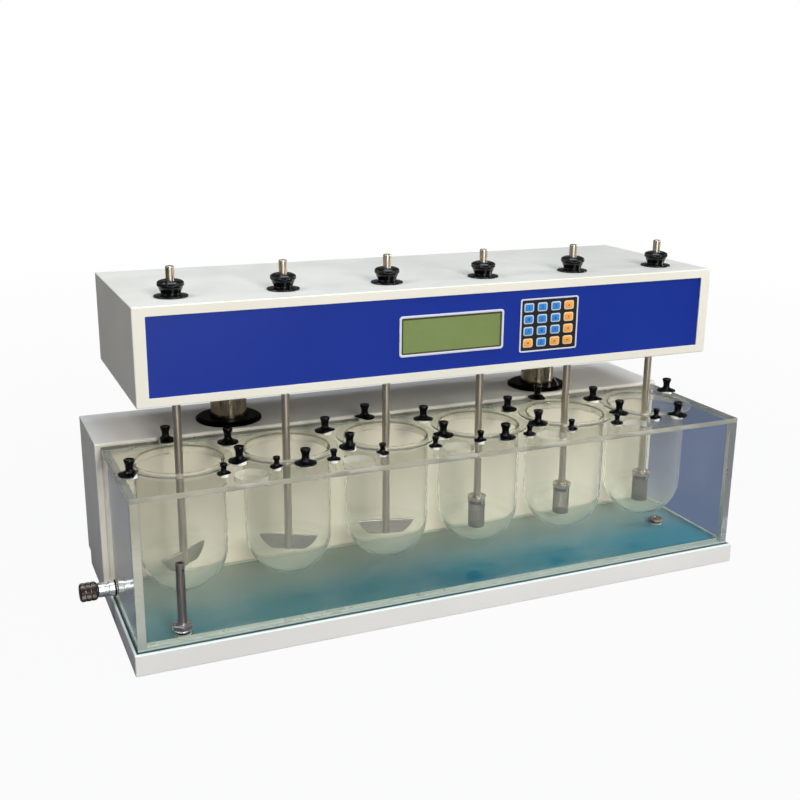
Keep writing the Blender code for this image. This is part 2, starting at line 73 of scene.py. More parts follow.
# ------------------------------------------------------------- shader helpers
class Tree:
    """A material's node tree, with short names for what the materials below use."""

    def __init__(self, name):
        self.mat = bpy.data.materials.new(name)
        self.mat.use_nodes = True
        self.nt = self.mat.node_tree
        self.nt.nodes.clear()
        self.out = self.nt.nodes.new("ShaderNodeOutputMaterial")

    def add(self, kind, **values):
        n = self.nt.nodes.new(kind)
        for k, v in values.items():
            if hasattr(n, k) and k not in n.inputs:
                setattr(n, k, v)
            else:
                n.inputs[k.replace("_", " ")].default_value = v
        return n

    def link(self, a, b):
        self.nt.links.new(a, b)

    def principled(self, **values):
        n = self.nt.nodes.new("ShaderNodeBsdfPrincipled")
        for k, v in values.items():
            n.inputs[k.replace("_", " ")].default_value = v
        return n

    def coords(self, scale=(1, 1, 1)):
        tc = self.nt.nodes.new("ShaderNodeTexCoord")
        mp = self.nt.nodes.new("ShaderNodeMapping")
        mp.inputs["Scale"].default_value = scale
        self.link(tc.outputs["Object"], mp.inputs["Vector"])
        return mp.outputs["Vector"]

    def noise(self, vec, scale, detail=3.0, rough=0.5):
        n = self.nt.nodes.new("ShaderNodeTexNoise")
        n.inputs["Scale"].default_value = scale
        n.inputs["Detail"].default_value = detail
        n.inputs["Roughness"].default_value = rough
        self.link(vec, n.inputs["Vector"])
        return n.outputs["Fac"]

    def ramp(self, fac, stops):
        n = self.nt.nodes.new("ShaderNodeValToRGB")
        el = n.color_ramp.elements
        while len(el) < len(stops):
            el.new(0.5)
        for e, (p, c) in zip(el, stops):
            e.position = p
            e.color = (*c, 1.0) if len(c) == 3 else c
        self.link(fac, n.inputs["Fac"])
        return n.outputs["Color"]

    def range(self, fac, lo, hi, f0=0.0, f1=1.0):
        n = self.nt.nodes.new("ShaderNodeMapRange")
        n.inputs["From Min"].default_value = f0
        n.inputs["From Max"].default_value = f1
        n.inputs["To Min"].default_value = lo
        n.inputs["To Max"].default_value = hi
        self.link(fac, n.inputs["Value"])
        return n.outputs["Result"]

    def bump(self, height, strength, distance=0.0002, normal=None):
        n = self.nt.nodes.new("ShaderNodeBump")
        n.inputs["Strength"].default_value = strength
        n.inputs["Distance"].default_value = distance
        self.link(height, n.inputs["Height"])
        if normal is not None:
            self.link(normal, n.inputs["Normal"])
        return n.outputs["Normal"]

    def surface(self, shader):
        self.link(shader.outputs[0] if hasattr(shader, "outputs") else shader,
                  self.out.inputs["Surface"])
        return self.mat


def see_through(t, glass, tint):
    """Glass for what looks at it; lamp rays and soft bounced light pass straight through, tinted."""
    lp = t.nt.nodes.new("ShaderNodeLightPath")
    clear = t.add("ShaderNodeBsdfTransparent")
    clear.inputs["Color"].default_value = (*tint, 1.0)
    m1 = t.nt.nodes.new("ShaderNodeMixShader")
    t.link(lp.outputs["Is Diffuse Ray"], m1.inputs[0])
    t.link(glass.outputs[0], m1.inputs[1])
    t.link(clear.outputs[0], m1.inputs[2])
    m2 = t.nt.nodes.new("ShaderNodeMixShader")
    t.link(lp.outputs["Is Shadow Ray"], m2.inputs[0])
    t.link(m1.outputs[0], m2.inputs[1])
    t.link(clear.outputs[0], m2.inputs[2])
    return t.surface(m2)


# ------------------------------------------------------------------- materials
def enamel(name, base, warm):
    """Baked enamel on sheet steel: faint orange peel, slight tone drift and handling marks."""
    t = Tree(name)
    v = t.coords()
    p = t.principled(IOR=1.45)
    tone = t.noise(v, 4.5, 2.0, 0.5)
    col = t.ramp(tone, [(0.30, tuple(c * 0.97 for c in base)), (0.70, warm)])
    t.link(col, p.inputs["Base Color"])
    wear = t.noise(v, 16.0, 2.0, 0.5)
    t.link(t.range(wear, 0.30, 0.42, 0.35, 0.65), p.inputs["Roughness"])
    peel = t.noise(v, 260.0, 0.0, 0.5)
    t.link(t.bump(peel, 0.06, 0.0002), p.inputs["Normal"])
    return t.surface(p)


def height(t, stops, z0, z1):
    """A colour that changes with the height above the bench."""
    sep = t.nt.nodes.new("ShaderNodeSeparateXYZ")
    t.link(t.coords(), sep.inputs[0])
    return t.ramp(t.range(sep.outputs["Z"], 0.0, 1.0, z0, z1), stops)


def acrylic(name, tint, shadow, rough=0.012, ior=1.22, clear=1.0, low=None):
    """Cast acrylic sheet: polished faces with a trace of wiping marks."""
    t = Tree(name)
    g = t.principled(Transmission_Weight=clear, IOR=ior, Base_Color=(*tint, 1.0))
    if low:
        t.link(height(t, [(0.0, low), (1.0, tint)], 0.03, 0.20), g.inputs["Base Color"])
    wipe = t.noise(t.coords((1, 1, 6)), 26.0, 4.0, 0.6)
    t.link(t.range(wipe, rough * 0.4, rough * 2.0, 0.35, 0.75), g.inputs["Roughness"])
    return see_through(t, g, shadow)


def sawn_edge(name, base, deep, clear=0.3, painted_height_shade=False):
    """Sawn and lightly polished acrylic edge: milky, with fine saw lines along it."""
    t = Tree(name)
    p = t.principled(IOR=1.45, Transmission_Weight=clear)
    lines = t.noise(t.coords((6, 6, 90)), 14.0, 3.0, 0.55)
    blot = t.noise(t.coords(), 22.0, 4.0, 0.6)
    mix = t.nt.nodes.new("ShaderNodeMath")
    mix.operation = "MULTIPLY"
    t.link(lines, mix.inputs[0])
    t.link(blot, mix.inputs[1])
    tone = t.ramp(mix.outputs[0], [(0.10, deep), (0.42, base)])
    # painted shade by height: the edge is darker and warmer towards the top, and darker and bluish towards the foot
    if painted_height_shade:
        mul = t.nt.nodes.new("ShaderNodeMix")
        mul.data_type = "RGBA"
        mul.blend_type = "MULTIPLY"
        mul.inputs["Factor"].default_value = 1.0
        t.link(tone, mul.inputs["A"])
        t.link(height(t, [(0.0, (0.66, 0.76, 0.80)), (0.55, (1.0, 1.0, 1.0)), (0.88, (0.72, 0.72, 0.66)),
                          (1.0, (0.72, 0.72, 0.66))], 0.028, 0.20), mul.inputs["B"])
        tone = mul.outputs["Result"]
    t.link(tone, p.inputs["Base Color"])
    t.link(t.range(blot, 0.22, 0.45, 0.3, 0.7), p.inputs["Roughness"])
    t.link(t.bump(lines, 0.15, 0.0002), p.inputs["Normal"])
    return t.surface(p)


def vessel_glass(name="vessel_glass", clear=0.95, tint=(0.925, 0.925, 0.915), top=None, ior=1.13):
    t = Tree(name)
    v = t.coords()
    g = t.principled(Transmission_Weight=clear, IOR=ior, Base_Color=(*tint, 1.0))
    # top: a second colour blended in with height towards the rim; the vessels use it as painted shade
    if top:
        t.link(height(t, [(0.0, tint), (1.0, top)], 0.11, 0.21), g.inputs["Base Color"])
    drift = t.noise(v, 9.0, 2.0, 0.5)
    t.link(t.range(drift, 0.0, 0.015, 0.3, 0.7), g.inputs["Roughness"])
    return see_through(t, g, (0.99, 0.99, 0.98))


def vessel_rim():
    """Fire-polished rim: thicker glass, olive against the light."""
    t = Tree("vessel_rim_glass")
    g = t.principled(Transmission_Weight=0.72, IOR=1.07, Base_Color=(0.42, 0.41, 0.30, 1.0))
    drift = t.noise(t.coords(), 30.0, 2.0, 0.5)
    t.link(t.range(drift, 0.22, 0.36, 0.3, 0.7), g.inputs["Roughness"])
    return see_through(t, g, (0.97, 0.965, 0.93))


def black_gloss(name="black_plastic", rough=(0.09, 0.17), base=(0.0009, 0.0008, 0.0009), ior=1.3):
    t = Tree(name)
    v = t.coords()
    p = t.principled(IOR=ior)
    n = t.noise(v, 240.0, 4.0, 0.6)
    t.link(t.ramp(n, [(0.3, base), (0.75, tuple(c * 1.9 for c in base))]), p.inputs["Base Color"])
    t.link(t.range(n, rough[0], rough[1], 0.3, 0.7), p.inputs["Roughness"])
    fine = t.noise(v, 1500.0, 2.0, 0.5)
    t.link(t.bump(fine, 0.03, 0.0001), p.inputs["Normal"])
    return t.surface(p)


def white_nylon():
    t = Tree("white_nylon")
    v = t.coords()
    p = t.principled(IOR=1.5, Subsurface_Weight=0.0)
    n = t.noise(v, 180.0, 3.0)
    t.link(t.ramp(n, [(0.3, (0.86, 0.86, 0.83)), (0.7, (0.93, 0.93, 0.90))]), p.inputs["Base Color"])
    t.link(t.range(n, 0.34, 0.48, 0.3, 0.7), p.inputs["Roughness"])
    return t.surface(p)


def steel(name, base, dark, rough, grain=(60, 60, 4), bump=0.10, tone_scale=11.0):
    """Ground or drawn steel: fine lines in one direction and slow changes of tone."""
    t = Tree(name)
    p = t.principled(Metallic=1.0)
    lines = t.noise(t.coords(grain), 26.0, 4.0, 0.65)
    tone = t.noise(t.coords(), tone_scale, 3.0, 0.5)
    add = t.nt.nodes.new("ShaderNodeMath")
    add.operation = "MULTIPLY_ADD"
    add.inputs[1].default_value = 0.45
    t.link(lines, add.inputs[0])
    half = t.nt.nodes.new("ShaderNodeMath")
    half.operation = "MULTIPLY"
    half.inputs[1].default_value = 0.55
    t.link(tone, half.inputs[0])
    t.link(half.outputs[0], add.inputs[2])
    t.link(t.ramp(add.outputs[0], [(0.30, dark), (0.62, base)]), p.inputs["Base Color"])
    t.link(t.range(lines, rough[0], rough[1], 0.3, 0.7), p.inputs["Roughness"])
    t.link(t.bump(lines, bump, 0.0001), p.inputs["Normal"])
    return t.surface(p)


def film(name, base, light, rough=(0.34, 0.46), weave=900.0):
    """Printed polyester film: even colour, fine matt texture."""
    t = Tree(name)
    v = t.coords()
    p = t.principled(IOR=1.35)
    slow = t.noise(v, 6.0, 3.0, 0.5)
    t.link(t.ramp(slow, [(0.3, base), (0.7, light)]), p.inputs["Base Color"])
    fine = t.noise(v, weave, 2.0, 0.5)
    t.link(t.range(fine, rough[0], rough[1], 0.3, 0.7), p.inputs["Roughness"])
    t.link(t.bump(fine, 0.10, 0.0001), p.inputs["Normal"])
    return t.surface(p)


def lcd_face():
    """Olive display: rows and columns of unlit character cells under a slight sheen."""
    t = Tree("lcd_face")
    tc = t.nt.nodes.new("ShaderNodeTexCoord")
    sep = t.nt.nodes.new("ShaderNodeSeparateXYZ")
    t.link(tc.outputs["Object"], sep.inputs[0])

    def cell(axis, pitch, width):
        s = t.nt.nodes.new("ShaderNodeMath")
        s.operation = "PINGPONG"
        s.inputs[1].default_value = pitch / 2
        t.link(sep.outputs[axis], s.inputs[0])
        c = t.nt.nodes.new("ShaderNodeMath")
        c.operation = "LESS_THAN"
        c.inputs[1].default_value = width
        t.link(s.outputs[0], c.inputs[0])
        return c.outputs[0]
    gx, gz = cell("X", 6.2 * MM, 0.28 * MM), cell("Z", 9.6 * MM, 0.45 * MM)
    grid = t.nt.nodes.new("ShaderNodeMath")
    grid.operation = "MAXIMUM"
    t.link(gx, grid.inputs[0])
    t.link(gz, grid.inputs[1])
    slow = t.noise(t.coords((1, 1, 1)), 17.0, 3.0, 0.6)
    base = t.ramp(slow, [(0.30, (0.165, 0.228, 0.070)), (0.52, (0.182, 0.246, 0.081)),
                         (0.74, (0.198, 0.262, 0.097))])
    light = t.ramp(slow, [(0.30, (0.174, 0.238, 0.078)), (0.74, (0.208, 0.272, 0.106))])
    mx = t.nt.nodes.new("ShaderNodeMix")
    mx.data_type = "RGBA"
    t.link(grid.outputs[0], mx.inputs["Factor"])
    t.link(base, mx.inputs["A"])
    t.link(light, mx.inputs["B"])
    p = t.principled(Roughness=0.42, IOR=1.45)
    t.link(mx.outputs["Result"], p.inputs["Base Color"])
    t.link(t.bump(t.noise(t.coords(), 1200.0, 2.0), 0.05, 0.0001), p.inputs["Normal"])
    return t.surface(p)


def teal_floor():
    """Teal sheet under the bath's floor, with a slow blue and green drift and faint dried tide marks in its
    roughness. Across it the colour runs grey-green at the left, darker mid-way and bluer at the right, and turns
    grey towards the rear: painted reflection of the surroundings and of the housing front.
    """
    t = Tree("teal_sheet")
    v = t.coords((1, 2.2, 1))
    p = t.principled(IOR=1.42)
    slow = t.noise(v, 4.2, 5.0, 0.6)
    grad = t.nt.nodes.new("ShaderNodeSeparateXYZ")
    t.link(t.coords(), grad.inputs[0])
    # painted reflection and shade: the colour follows the position across the sheet, plus a noise drift
    right = t.range(grad.outputs["X"], 0.0, 1.0, -0.40, 0.40)
    painted_reflection_and_drift = t.nt.nodes.new("ShaderNodeMath")
    painted_reflection_and_drift.operation = "MULTIPLY_ADD"
    painted_reflection_and_drift.inputs[1].default_value = 0.55
    t.link(right, painted_reflection_and_drift.inputs[0])
    part = t.nt.nodes.new("ShaderNodeMath")
    part.operation = "MULTIPLY"
    part.inputs[1].default_value = 0.75
    t.link(slow, part.inputs[0])
    t.link(part.outputs[0], painted_reflection_and_drift.inputs[2])
    tone = t.ramp(painted_reflection_and_drift.outputs[0], [(0.30, (0.095, 0.210, 0.225)), (0.50, (0.040, 0.170, 0.205)),
                                     (0.65, (0.008, 0.135, 0.205)), (0.76, (0.030, 0.185, 0.250)),
                                     (0.92, (0.040, 0.205, 0.285))])
    # painted reflection: towards the rear the colour is mixed towards the grey of the housing front
    rear_painted_reflection = t.nt.nodes.new("ShaderNodeMix")
    rear_painted_reflection.data_type = "RGBA"
    t.link(t.range(grad.outputs["Y"], 0.0, 0.72, -0.10, 0.01), rear_painted_reflection.inputs["Factor"])
    t.link(tone, rear_painted_reflection.inputs["A"])
    rear_painted_reflection.inputs["B"].default_value = (0.300, 0.335, 0.285, 1.0)
    t.link(rear_painted_reflection.outputs["Result"], p.inputs["Base Color"])
    marks = t.noise(t.coords((1, 1.6, 1)), 18.0, 6.0, 0.7)
    t.link(t.range(marks, 0.010, 0.045, 0.35, 0.75), p.inputs["Roughness"])
    return t.surface(p)


def sheet_front():
    """Front and left edges of the teal sheet: light turquoise, lighter towards the top, as a painted highlight on
    the edges turned to the lamps.
    """
    t = Tree("teal_sheet_front_highlight")
    p = t.principled(IOR=1.4, Roughness=0.35)
    t.link(height(t, [(0.0, (0.40, 0.52, 0.50)), (1.0, (0.52, 0.61, 0.57))], 0.0263, 0.0288),
           p.inputs["Base Color"])
    return t.surface(p)


M_WHITE = enamel("white_enamel", (0.80, 0.783, 0.70), (0.83, 0.813, 0.735))
# painted shade: the housing's front face, behind the bath, gets a slightly darker copy of the enamel with less
# green
M_HOUSE_FRONT_SHADED = enamel("white_enamel_front_shaded", (0.80, 0.765, 0.705), (0.83, 0.795, 0.735))
# painted light: the housing's roof gets a lighter copy of the enamel
M_HOUSE_ROOF_LIT = enamel("white_enamel_roof_lit", (0.86, 0.845, 0.80), (0.89, 0.875, 0.83))
M_TRAY = enamel("white_enamel_tray", (0.75, 0.75, 0.74), (0.785, 0.785, 0.78))
# painted highlight: the tray's upward faces get a lighter enamel with a cyan cast
M_TRAY_TOP_HIGHLIGHT = enamel("white_enamel_ledge_highlight", (0.78, 0.85, 0.86), (0.81, 0.88, 0.885))
M_FRONT_AC = acrylic("bath_acrylic", (0.99, 0.99, 0.965), (0.995, 0.994, 0.982))
M_FLOOR_AC = acrylic("bath_floor_acrylic", (0.99, 0.99, 0.98), (0.995, 0.994, 0.99), rough=0.006, ior=1.06)
M_FLOOR_UNDER = acrylic("bath_floor_underside", (0.99, 0.99, 0.98), (0.995, 0.994, 0.99), ior=1.02)
M_END_AC = acrylic("bath_end_acrylic", (0.86, 0.90, 0.96), (0.97, 0.98, 0.99), ior=1.2)
M_LEFT_AC = acrylic("bath_left_acrylic", (0.61, 0.595, 0.65), (0.985, 0.985, 0.985), ior=1.45, clear=0.94,
                    low=(0.98, 0.99, 0.98))
# painted reflection: the plate is tinted darker grey than the walls, for the dark head underside it reflects
M_PLATE_AC_DARK_REFLECTION = acrylic("plate_acrylic_dark_reflection", (0.80, 0.81, 0.775), (0.97, 0.97, 0.96), ior=1.035)
M_HOLE = acrylic("plate_hole_wall", (0.97, 0.97, 0.94), (0.985, 0.985, 0.975), ior=1.02)
M_EDGE_CLEAR = sawn_edge("acrylic_edge_clear", (0.66, 0.69, 0.72), (0.56, 0.59, 0.62), 0.72)
M_PORT = acrylic("port_wall", (0.95, 0.95, 0.90), (0.97, 0.97, 0.96), rough=0.03, ior=1.035, clear=0.72)
# wall edges: painted shade by height, darker towards the top and towards the foot
M_EDGE = sawn_edge("acrylic_edge", (0.745, 0.735, 0.65), (0.57, 0.57, 0.50), painted_height_shade=True)
M_WALL_TOP = sawn_edge("acrylic_top_edge", (0.78, 0.81, 0.78), (0.66, 0.69, 0.66), 0.72)
M_PLATE_EDGE = sawn_edge("plate_edge", (0.75, 0.75, 0.65), (0.56, 0.56, 0.48), 0.72)
M_FLOOR_EDGE = sawn_edge("floor_edge", (0.55, 0.64, 0.58), (0.42, 0.49, 0.44), 0.25)
M_TEAL = teal_floor()
M_TEAL_EDGE = film("teal_sheet_edge", (0.006, 0.070, 0.072), (0.012, 0.105, 0.100), (0.3, 0.45))
M_TEAL_FRONT_HIGHLIGHT = sheet_front()
# painted shadow: dark film for the strip under the bath's foot
M_FOOT_SHADOW = film("bath_foot_shadow_strip", (0.018, 0.050, 0.052), (0.030, 0.070, 0.072), (0.4, 0.55))
# bond line at the wall's foot, with a teal-tinted painted highlight in its pale cyan colour
M_BOND_AND_HIGHLIGHT = film("bond_line_and_highlight", (0.52, 0.66, 0.66), (0.62, 0.76, 0.76), (0.2, 0.3))
# painted shade: the vessel glass turns darker and warmer towards the rim
M_GLASS_TOP_SHADE = vessel_glass(top=(0.875, 0.870, 0.825))
M_FLANGE = vessel_glass("vessel_flange", 0.94, (0.87, 0.87, 0.81), ior=1.05)
M_NECK = vessel_glass("vessel_neck", 0.74, (0.97, 0.91, 0.79), ior=1.05)
# painted glow: lower bands of each bowl are less clear, so they read milky pale
M_BOWLS_GLOW = [vessel_glass("vessel_glass_bowl_%d" % (k + 1), c, (0.90, 0.93, 0.885))
           for k, c in enumerate((0.93, 0.90, 0.86))]
M_RIM = vessel_rim()
M_BLACK = black_gloss()
M_BLACK_SOFT = black_gloss("black_collar", (0.26, 0.40), (0.0003, 0.0003, 0.0003), 1.08)
M_CHUCK = black_gloss("chuck_black", (0.10, 0.20), (0.0016, 0.0016, 0.0020), 1.45)
M_NYLON = white_nylon()
M_STUD = acrylic("stud_nylon", (0.96, 0.96, 0.92), (0.97, 0.97, 0.96), rough=0.04, ior=1.02, clear=0.96)
M_ROD = steel("shaft_steel", (0.63, 0.56, 0.455), (0.42, 0.36, 0.285), (0.30, 0.44), (50, 50, 3))
M_BLADE = steel("paddle_steel", (0.60, 0.57, 0.50), (0.38, 0.36, 0.31), (0.26, 0.40), (9, 9, 40))
M_BASKET = steel("basket_steel", (0.25, 0.245, 0.225), (0.12, 0.118, 0.108), (0.26, 0.42), (30, 30, 30))
M_COLUMN = steel("column_steel", (0.53, 0.455, 0.32), (0.27, 0.225, 0.155), (0.13, 0.24), (34, 34, 2), 0.06, 5.0)
M_PIPE = steel("pipe_steel", (0.30, 0.25, 0.23), (0.16, 0.13, 0.12), (0.28, 0.42), (40, 40, 3))
M_NUT = steel("nut_steel", (0.27, 0.25, 0.26), (0.15, 0.14, 0.15), (0.24, 0.38), (30, 30, 12))
M_CHROME = steel("chrome", (0.86, 0.87, 0.88), (0.74, 0.75, 0.77), (0.06, 0.13), (20, 20, 20), 0.02)
M_VALVE = steel("valve_chrome", (0.90, 0.93, 0.97), (0.82, 0.86, 0.91), (0.26, 0.36), (20, 20, 20), 0.02)
M_BRONZE = steel("dark_bronze", (0.110, 0.088, 0.080), (0.022, 0.018, 0.016), (0.24, 0.40), (26, 26, 26))
M_BLUE = film("blue_film", (0.0040, 0.025, 0.275), (0.0055, 0.029, 0.295))
M_LCD = lcd_face()
# painted shade: dark olive for the sloped surround round the display face
M_LCD_RECESS_SHADE = film("display_recess_shade", (0.050, 0.052, 0.018), (0.070, 0.070, 0.028), (0.4, 0.55))
M_FRAME = film("panel_trim", (0.60, 0.63, 0.74), (0.66, 0.69, 0.80))
M_KEY_BLACK = film("keypad_ground", (0.012, 0.012, 0.014), (0.020, 0.019, 0.022))
M_KEY_RIM = film("key_rim_pale", (0.42, 0.56, 0.70), (0.50, 0.63, 0.76))
M_KEY_BLUE = film("key_blue", (0.030, 0.195, 0.560), (0.045, 0.235, 0.620))
M_KEY_ORANGE_RIM = film("key_rim_sand", (0.80, 0.56, 0.30), (0.84, 0.62, 0.36))
M_KEY_ORANGE = film("key_orange", (0.760, 0.330, 0.070), (0.810, 0.375, 0.090))
M_GLYPH_BLUE = film("key_print_blue", (0.010, 0.030, 0.200), (0.014, 0.038, 0.230))
M_GLYPH_BROWN = film("key_print_brown", (0.330, 0.110, 0.020), (0.360, 0.130, 0.025))


# ----------------------------------------------------------- geometry helpers
def to_object(name, bm, mats, body, smooth=30.0, bevel=None, bevel_angle=50.0,
              segs=2, weighted=False):
    me = bpy.data.meshes.new(name)
    bmesh.ops.recalc_face_normals(bm, faces=bm.faces)
    bm.to_mesh(me)
    bm.free()
    return finish_mesh(name, me, mats, body, smooth, bevel, bevel_angle, segs, weighted)


def finish_mesh(name, me, mats, body, smooth=30.0, bevel=None, bevel_angle=50.0,
                segs=2, weighted=False):
    for m in mats:
        me.materials.append(m)
    me.shade_smooth()
    me.set_sharp_from_angle(angle=radians(smooth))
    ob = bpy.data.objects.new(name, me)
    scene.collection.objects.link(ob)
    if bevel:
        md = ob.modifiers.new("edge", "BEVEL")
        md.width = bevel
        md.segments = segs
        md.limit_method = "ANGLE"
        md.angle_limit = radians(bevel_angle)
        md.use_clamp_overlap = True
        md.harden_normals = False
    if weighted or bevel:
        wn = ob.modifiers.new("normals", "WEIGHTED_NORMAL")
        wn.keep_sharp = True
        wn.weight = 80
    if body:
        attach(ob, body)
    return ob


def replace(ob, *nodes):
    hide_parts(*nodes)
    return ob


def box_bm(x0, x1, y0, y1, z0, z1, bm=None):
    bm = bm or bmesh.new()
    r = bmesh.ops.create_cube(bm, size=1.0)
    bmesh.ops.scale(bm, vec=(x1 - x0, y1 - y0, z1 - z0), verts=r["verts"])
    bmesh.ops.translate(bm, vec=((x0 + x1) / 2, (y0 + y1) / 2, (z0 + z1) / 2), verts=r["verts"])
    return bm


def round_box_bm(x0, x1, y0, y1, z0, z1, r, segs=4):
    bm = box_bm(x0, x1, y0, y1, z0, z1)
    bmesh.ops.bevel(bm, geom=list(bm.edges), offset=r, segments=segs, profile=0.5,
                    affect="EDGES", clamp_overlap=True)
    return bm


def fillet(points, radii, n=5):
    """An open profile with its inner corners rounded.  radii: one number, or one per point."""
    if not hasattr(radii, "__len__"):
        radii = [radii] * len(points)
    out = [points[0]]
    for i in range(1, len(points) - 1):
        p0, p1, p2 = Vector(points[i - 1]), Vector(points[i]), Vector(points[i + 1])
        a, b = (p0 - p1), (p2 - p1)
        la, lb = a.length, b.length
        r = radii[i]
        if r <= 0 or la < 1e-9 or lb < 1e-9:
            out.append(tuple(p1))
            continue
        a, b = a / la, b / lb
        cosang = max(-1.0, min(1.0, a.dot(b)))
        half = 0.5 * acos_(cosang)
        if half > pi / 2 - 0.03:
            out.append(tuple(p1))
            continue
        d = min(r / max(1e-6, sin(half) / cos(half)), 0.48 * la, 0.48 * lb)
        q0, q2 = p1 + a * d, p1 + b * d
        for k in range(n + 1):
            t = k / n
            q = q0 * (1 - t) ** 2 + p1 * 2 * t * (1 - t) + q2 * t * t
            out.append(tuple(q))
    out.append(points[-1])
    return out


def acos_(x):
    return atan2(sqrt(max(0.0, 1 - x * x)), x)


def lathe_bm(profile, seg, closed=False, bm=None, slots=None, warp=None):
    """Turn a profile of (radius, height) about Z.  slots: material index per profile step.
    warp(radius, height, angle) may move a point's radius."""
    bm = bm or bmesh.new()
    rings = []
    for r, z in profile:
        if r < 1e-8:
            rings.append([bm.verts.new((0, 0, z))])
        else:
            ring = []
            for k in range(seg):
                a = 2 * pi * k / seg
                rr = warp(r, z, a) if warp else r
                ring.append(bm.verts.new((rr * cos(a), rr * sin(a), z)))
            rings.append(ring)
    n = len(rings)
    for i in range(n if closed else n - 1):
        a, b = rings[i], rings[(i + 1) % n]
        mi = slots[i] if slots else 0
        for k in range(seg):
            k2 = (k + 1) % seg
            if len(a) == 1 and len(b) == 1:
                continue
            if len(a) == 1:
                f = bm.faces.new((a[0], b[k2], b[k]))
            elif len(b) == 1:
                f = bm.faces.new((a[k], a[k2], b[0]))
            else:
                f = bm.faces.new((a[k], a[k2], b[k2], b[k]))
            f.material_index = mi
    return bm


def tube_bm(bm, pts, r, sides=6, slot=0, caps=True):
    """A bar of round section along straight steps between points."""
    rings = []
    up0 = Vector((0, 0, 1))
    for i, p in enumerate(pts):
        p = Vector(p)
        d = (Vector(pts[min(i + 1, len(pts) - 1)]) - Vector(pts[max(i - 1, 0)])).normalized()
        u = d.cross(up0)
        if u.length < 1e-4:
            u = d.cross(Vector((1, 0, 0)))
        u.normalize()
        w = d.cross(u).normalized()
        rings.append([bm.verts.new(p + u * r * cos(2 * pi * k / sides) + w * r * sin(2 * pi * k / sides))
                      for k in range(sides)])
    for a, b in zip(rings, rings[1:]):
        for k in range(sides):
            f = bm.faces.new((a[k], a[(k + 1) % sides], b[(k + 1) % sides], b[k]))
            f.material_index = slot
    if caps:
        for ring in (rings[0][::-1], rings[-1]):
            bm.faces.new(ring).material_index = slot
    return bm


def cut(ob, tool_bm, name="cut", op="DIFFERENCE"):
    """Apply a boolean now, and keep the result as the object's mesh."""
    me = bpy.data.meshes.new(name)
    bmesh.ops.recalc_face_normals(tool_bm, faces=tool_bm.faces)
    tool_bm.to_mesh(me)
    tool_bm.free()
    tool = bpy.data.objects.new(name, me)
    scene.collection.objects.link(tool)
    md = ob.modifiers.new("b", "BOOLEAN")
    md.operation = op
    md.solver = "EXACT"
    md.object = tool
    bpy.context.view_layer.update()
    dg = bpy.context.evaluated_depsgraph_get()
    new = bpy.data.meshes.new_from_object(ob.evaluated_get(dg), preserve_all_data_layers=True,
                                          depsgraph=dg)
    ob.modifiers.remove(md)
    old = ob.data
    ob.data = new
    bpy.data.objects.remove(tool, do_unlink=True)
    bpy.data.meshes.remove(me)
    bpy.data.meshes.remove(old)
    return ob


def temp_object(bm, name="work"):
    me = bpy.data.meshes.new(name)
    bmesh.ops.recalc_face_normals(bm, faces=bm.faces)
    bm.to_mesh(me)
    bm.free()
    ob = bpy.data.objects.new(name, me)
    scene.collection.objects.link(ob)
    return ob


def take_mesh(ob):
    me = ob.data
    bpy.data.objects.remove(ob, do_unlink=True)
    return me


def cyl_bm(x, y, z0, z1, r, seg, bm=None):
    bm = bm or bmesh.new()
    res = bmesh.ops.create_cone(bm, cap_ends=True, segments=seg, radius1=r, radius2=r, depth=z1 - z0)
    bmesh.ops.translate(bm, vec=(x, y, (z0 + z1) / 2), verts=res["verts"])
    return bm


def rounded_outline(x0, x1, z0, z1, r, n=6):
    pts = []
    for cx, cz, a0 in ((x1 - r, z1 - r, 0), (x0 + r, z1 - r, 90), (x0 + r, z0 + r, 180),
                       (x1 - r, z0 + r, 270)):
        for k in range(n + 1):
            a = radians(a0 + 90 * k / n)
            pts.append((cx + r * cos(a), cz + r * sin(a)))
    return pts


def pad_bm(bm, outline, y_back, y_front, slot, bevel=0.0):
    """A flat pad lying in the X-Z plane, its face towards -Y.  bevel draws the face in."""
    cx = sum(p[0] for p in outline) / len(outline)
    cz = sum(p[1] for p in outline) / len(outline)

    def inset(p, d):
        dx, dz = p[0] - cx, p[1] - cz
        w = max(abs(q[0] - cx) for q in outline)
        h = max(abs(q[1] - cz) for q in outline)
        return (cx + dx * (1 - d / w), cz + dz * (1 - d / h))
    rows = [(outline, y_back)]
    if bevel:
        rows.append((outline, y_front + bevel))
        rows.append(([inset(p, bevel * 0.3) for p in outline], y_front + bevel * 0.35))
        rows.append(([inset(p, bevel) for p in outline], y_front))
    else:
        rows.append((outline, y_front))
    rings = [[bm.verts.new((p[0], y, p[1])) for p in pts] for pts, y in rows]
    n = len(outline)
    for a, b in zip(rings, rings[1:]):
        for k in range(n):
            bm.faces.new((a[k], a[(k + 1) % n], b[(k + 1) % n], b[k])).material_index = slot
    bm.faces.new(rings[0][::-1]).material_index = slot
    bm.faces.new(rings[-1]).material_index = slot
    return bm


def frame_bm(bm, outer, inner, y_back, y_front, slot, bevel=0.0):
    """A flat ring in the X-Z plane between two outlines of equal length."""
    n = len(outer)

    def lerp(a, b, t):
        return [(p[0] * (1 - t) + q[0] * t, p[1] * (1 - t) + q[1] * t) for p, q in zip(a, b)]
    rows = [(outer, y_back), (outer, y_front + bevel), (lerp(outer, inner, 0.18), y_front),
            (lerp(outer, inner, 0.82), y_front), (inner, y_front + bevel), (inner, y_back)]
    rings = [[bm.verts.new((p[0], y, p[1])) for p in pts] for pts, y in rows]
    for i in range(len(rings)):
        a, b = rings[i], rings[(i + 1) % len(rings)]
        for k in range(n):
            bm.faces.new((a[k], a[(k + 1) % n], b[(k + 1) % n], b[k])).material_index = slot
    return bm


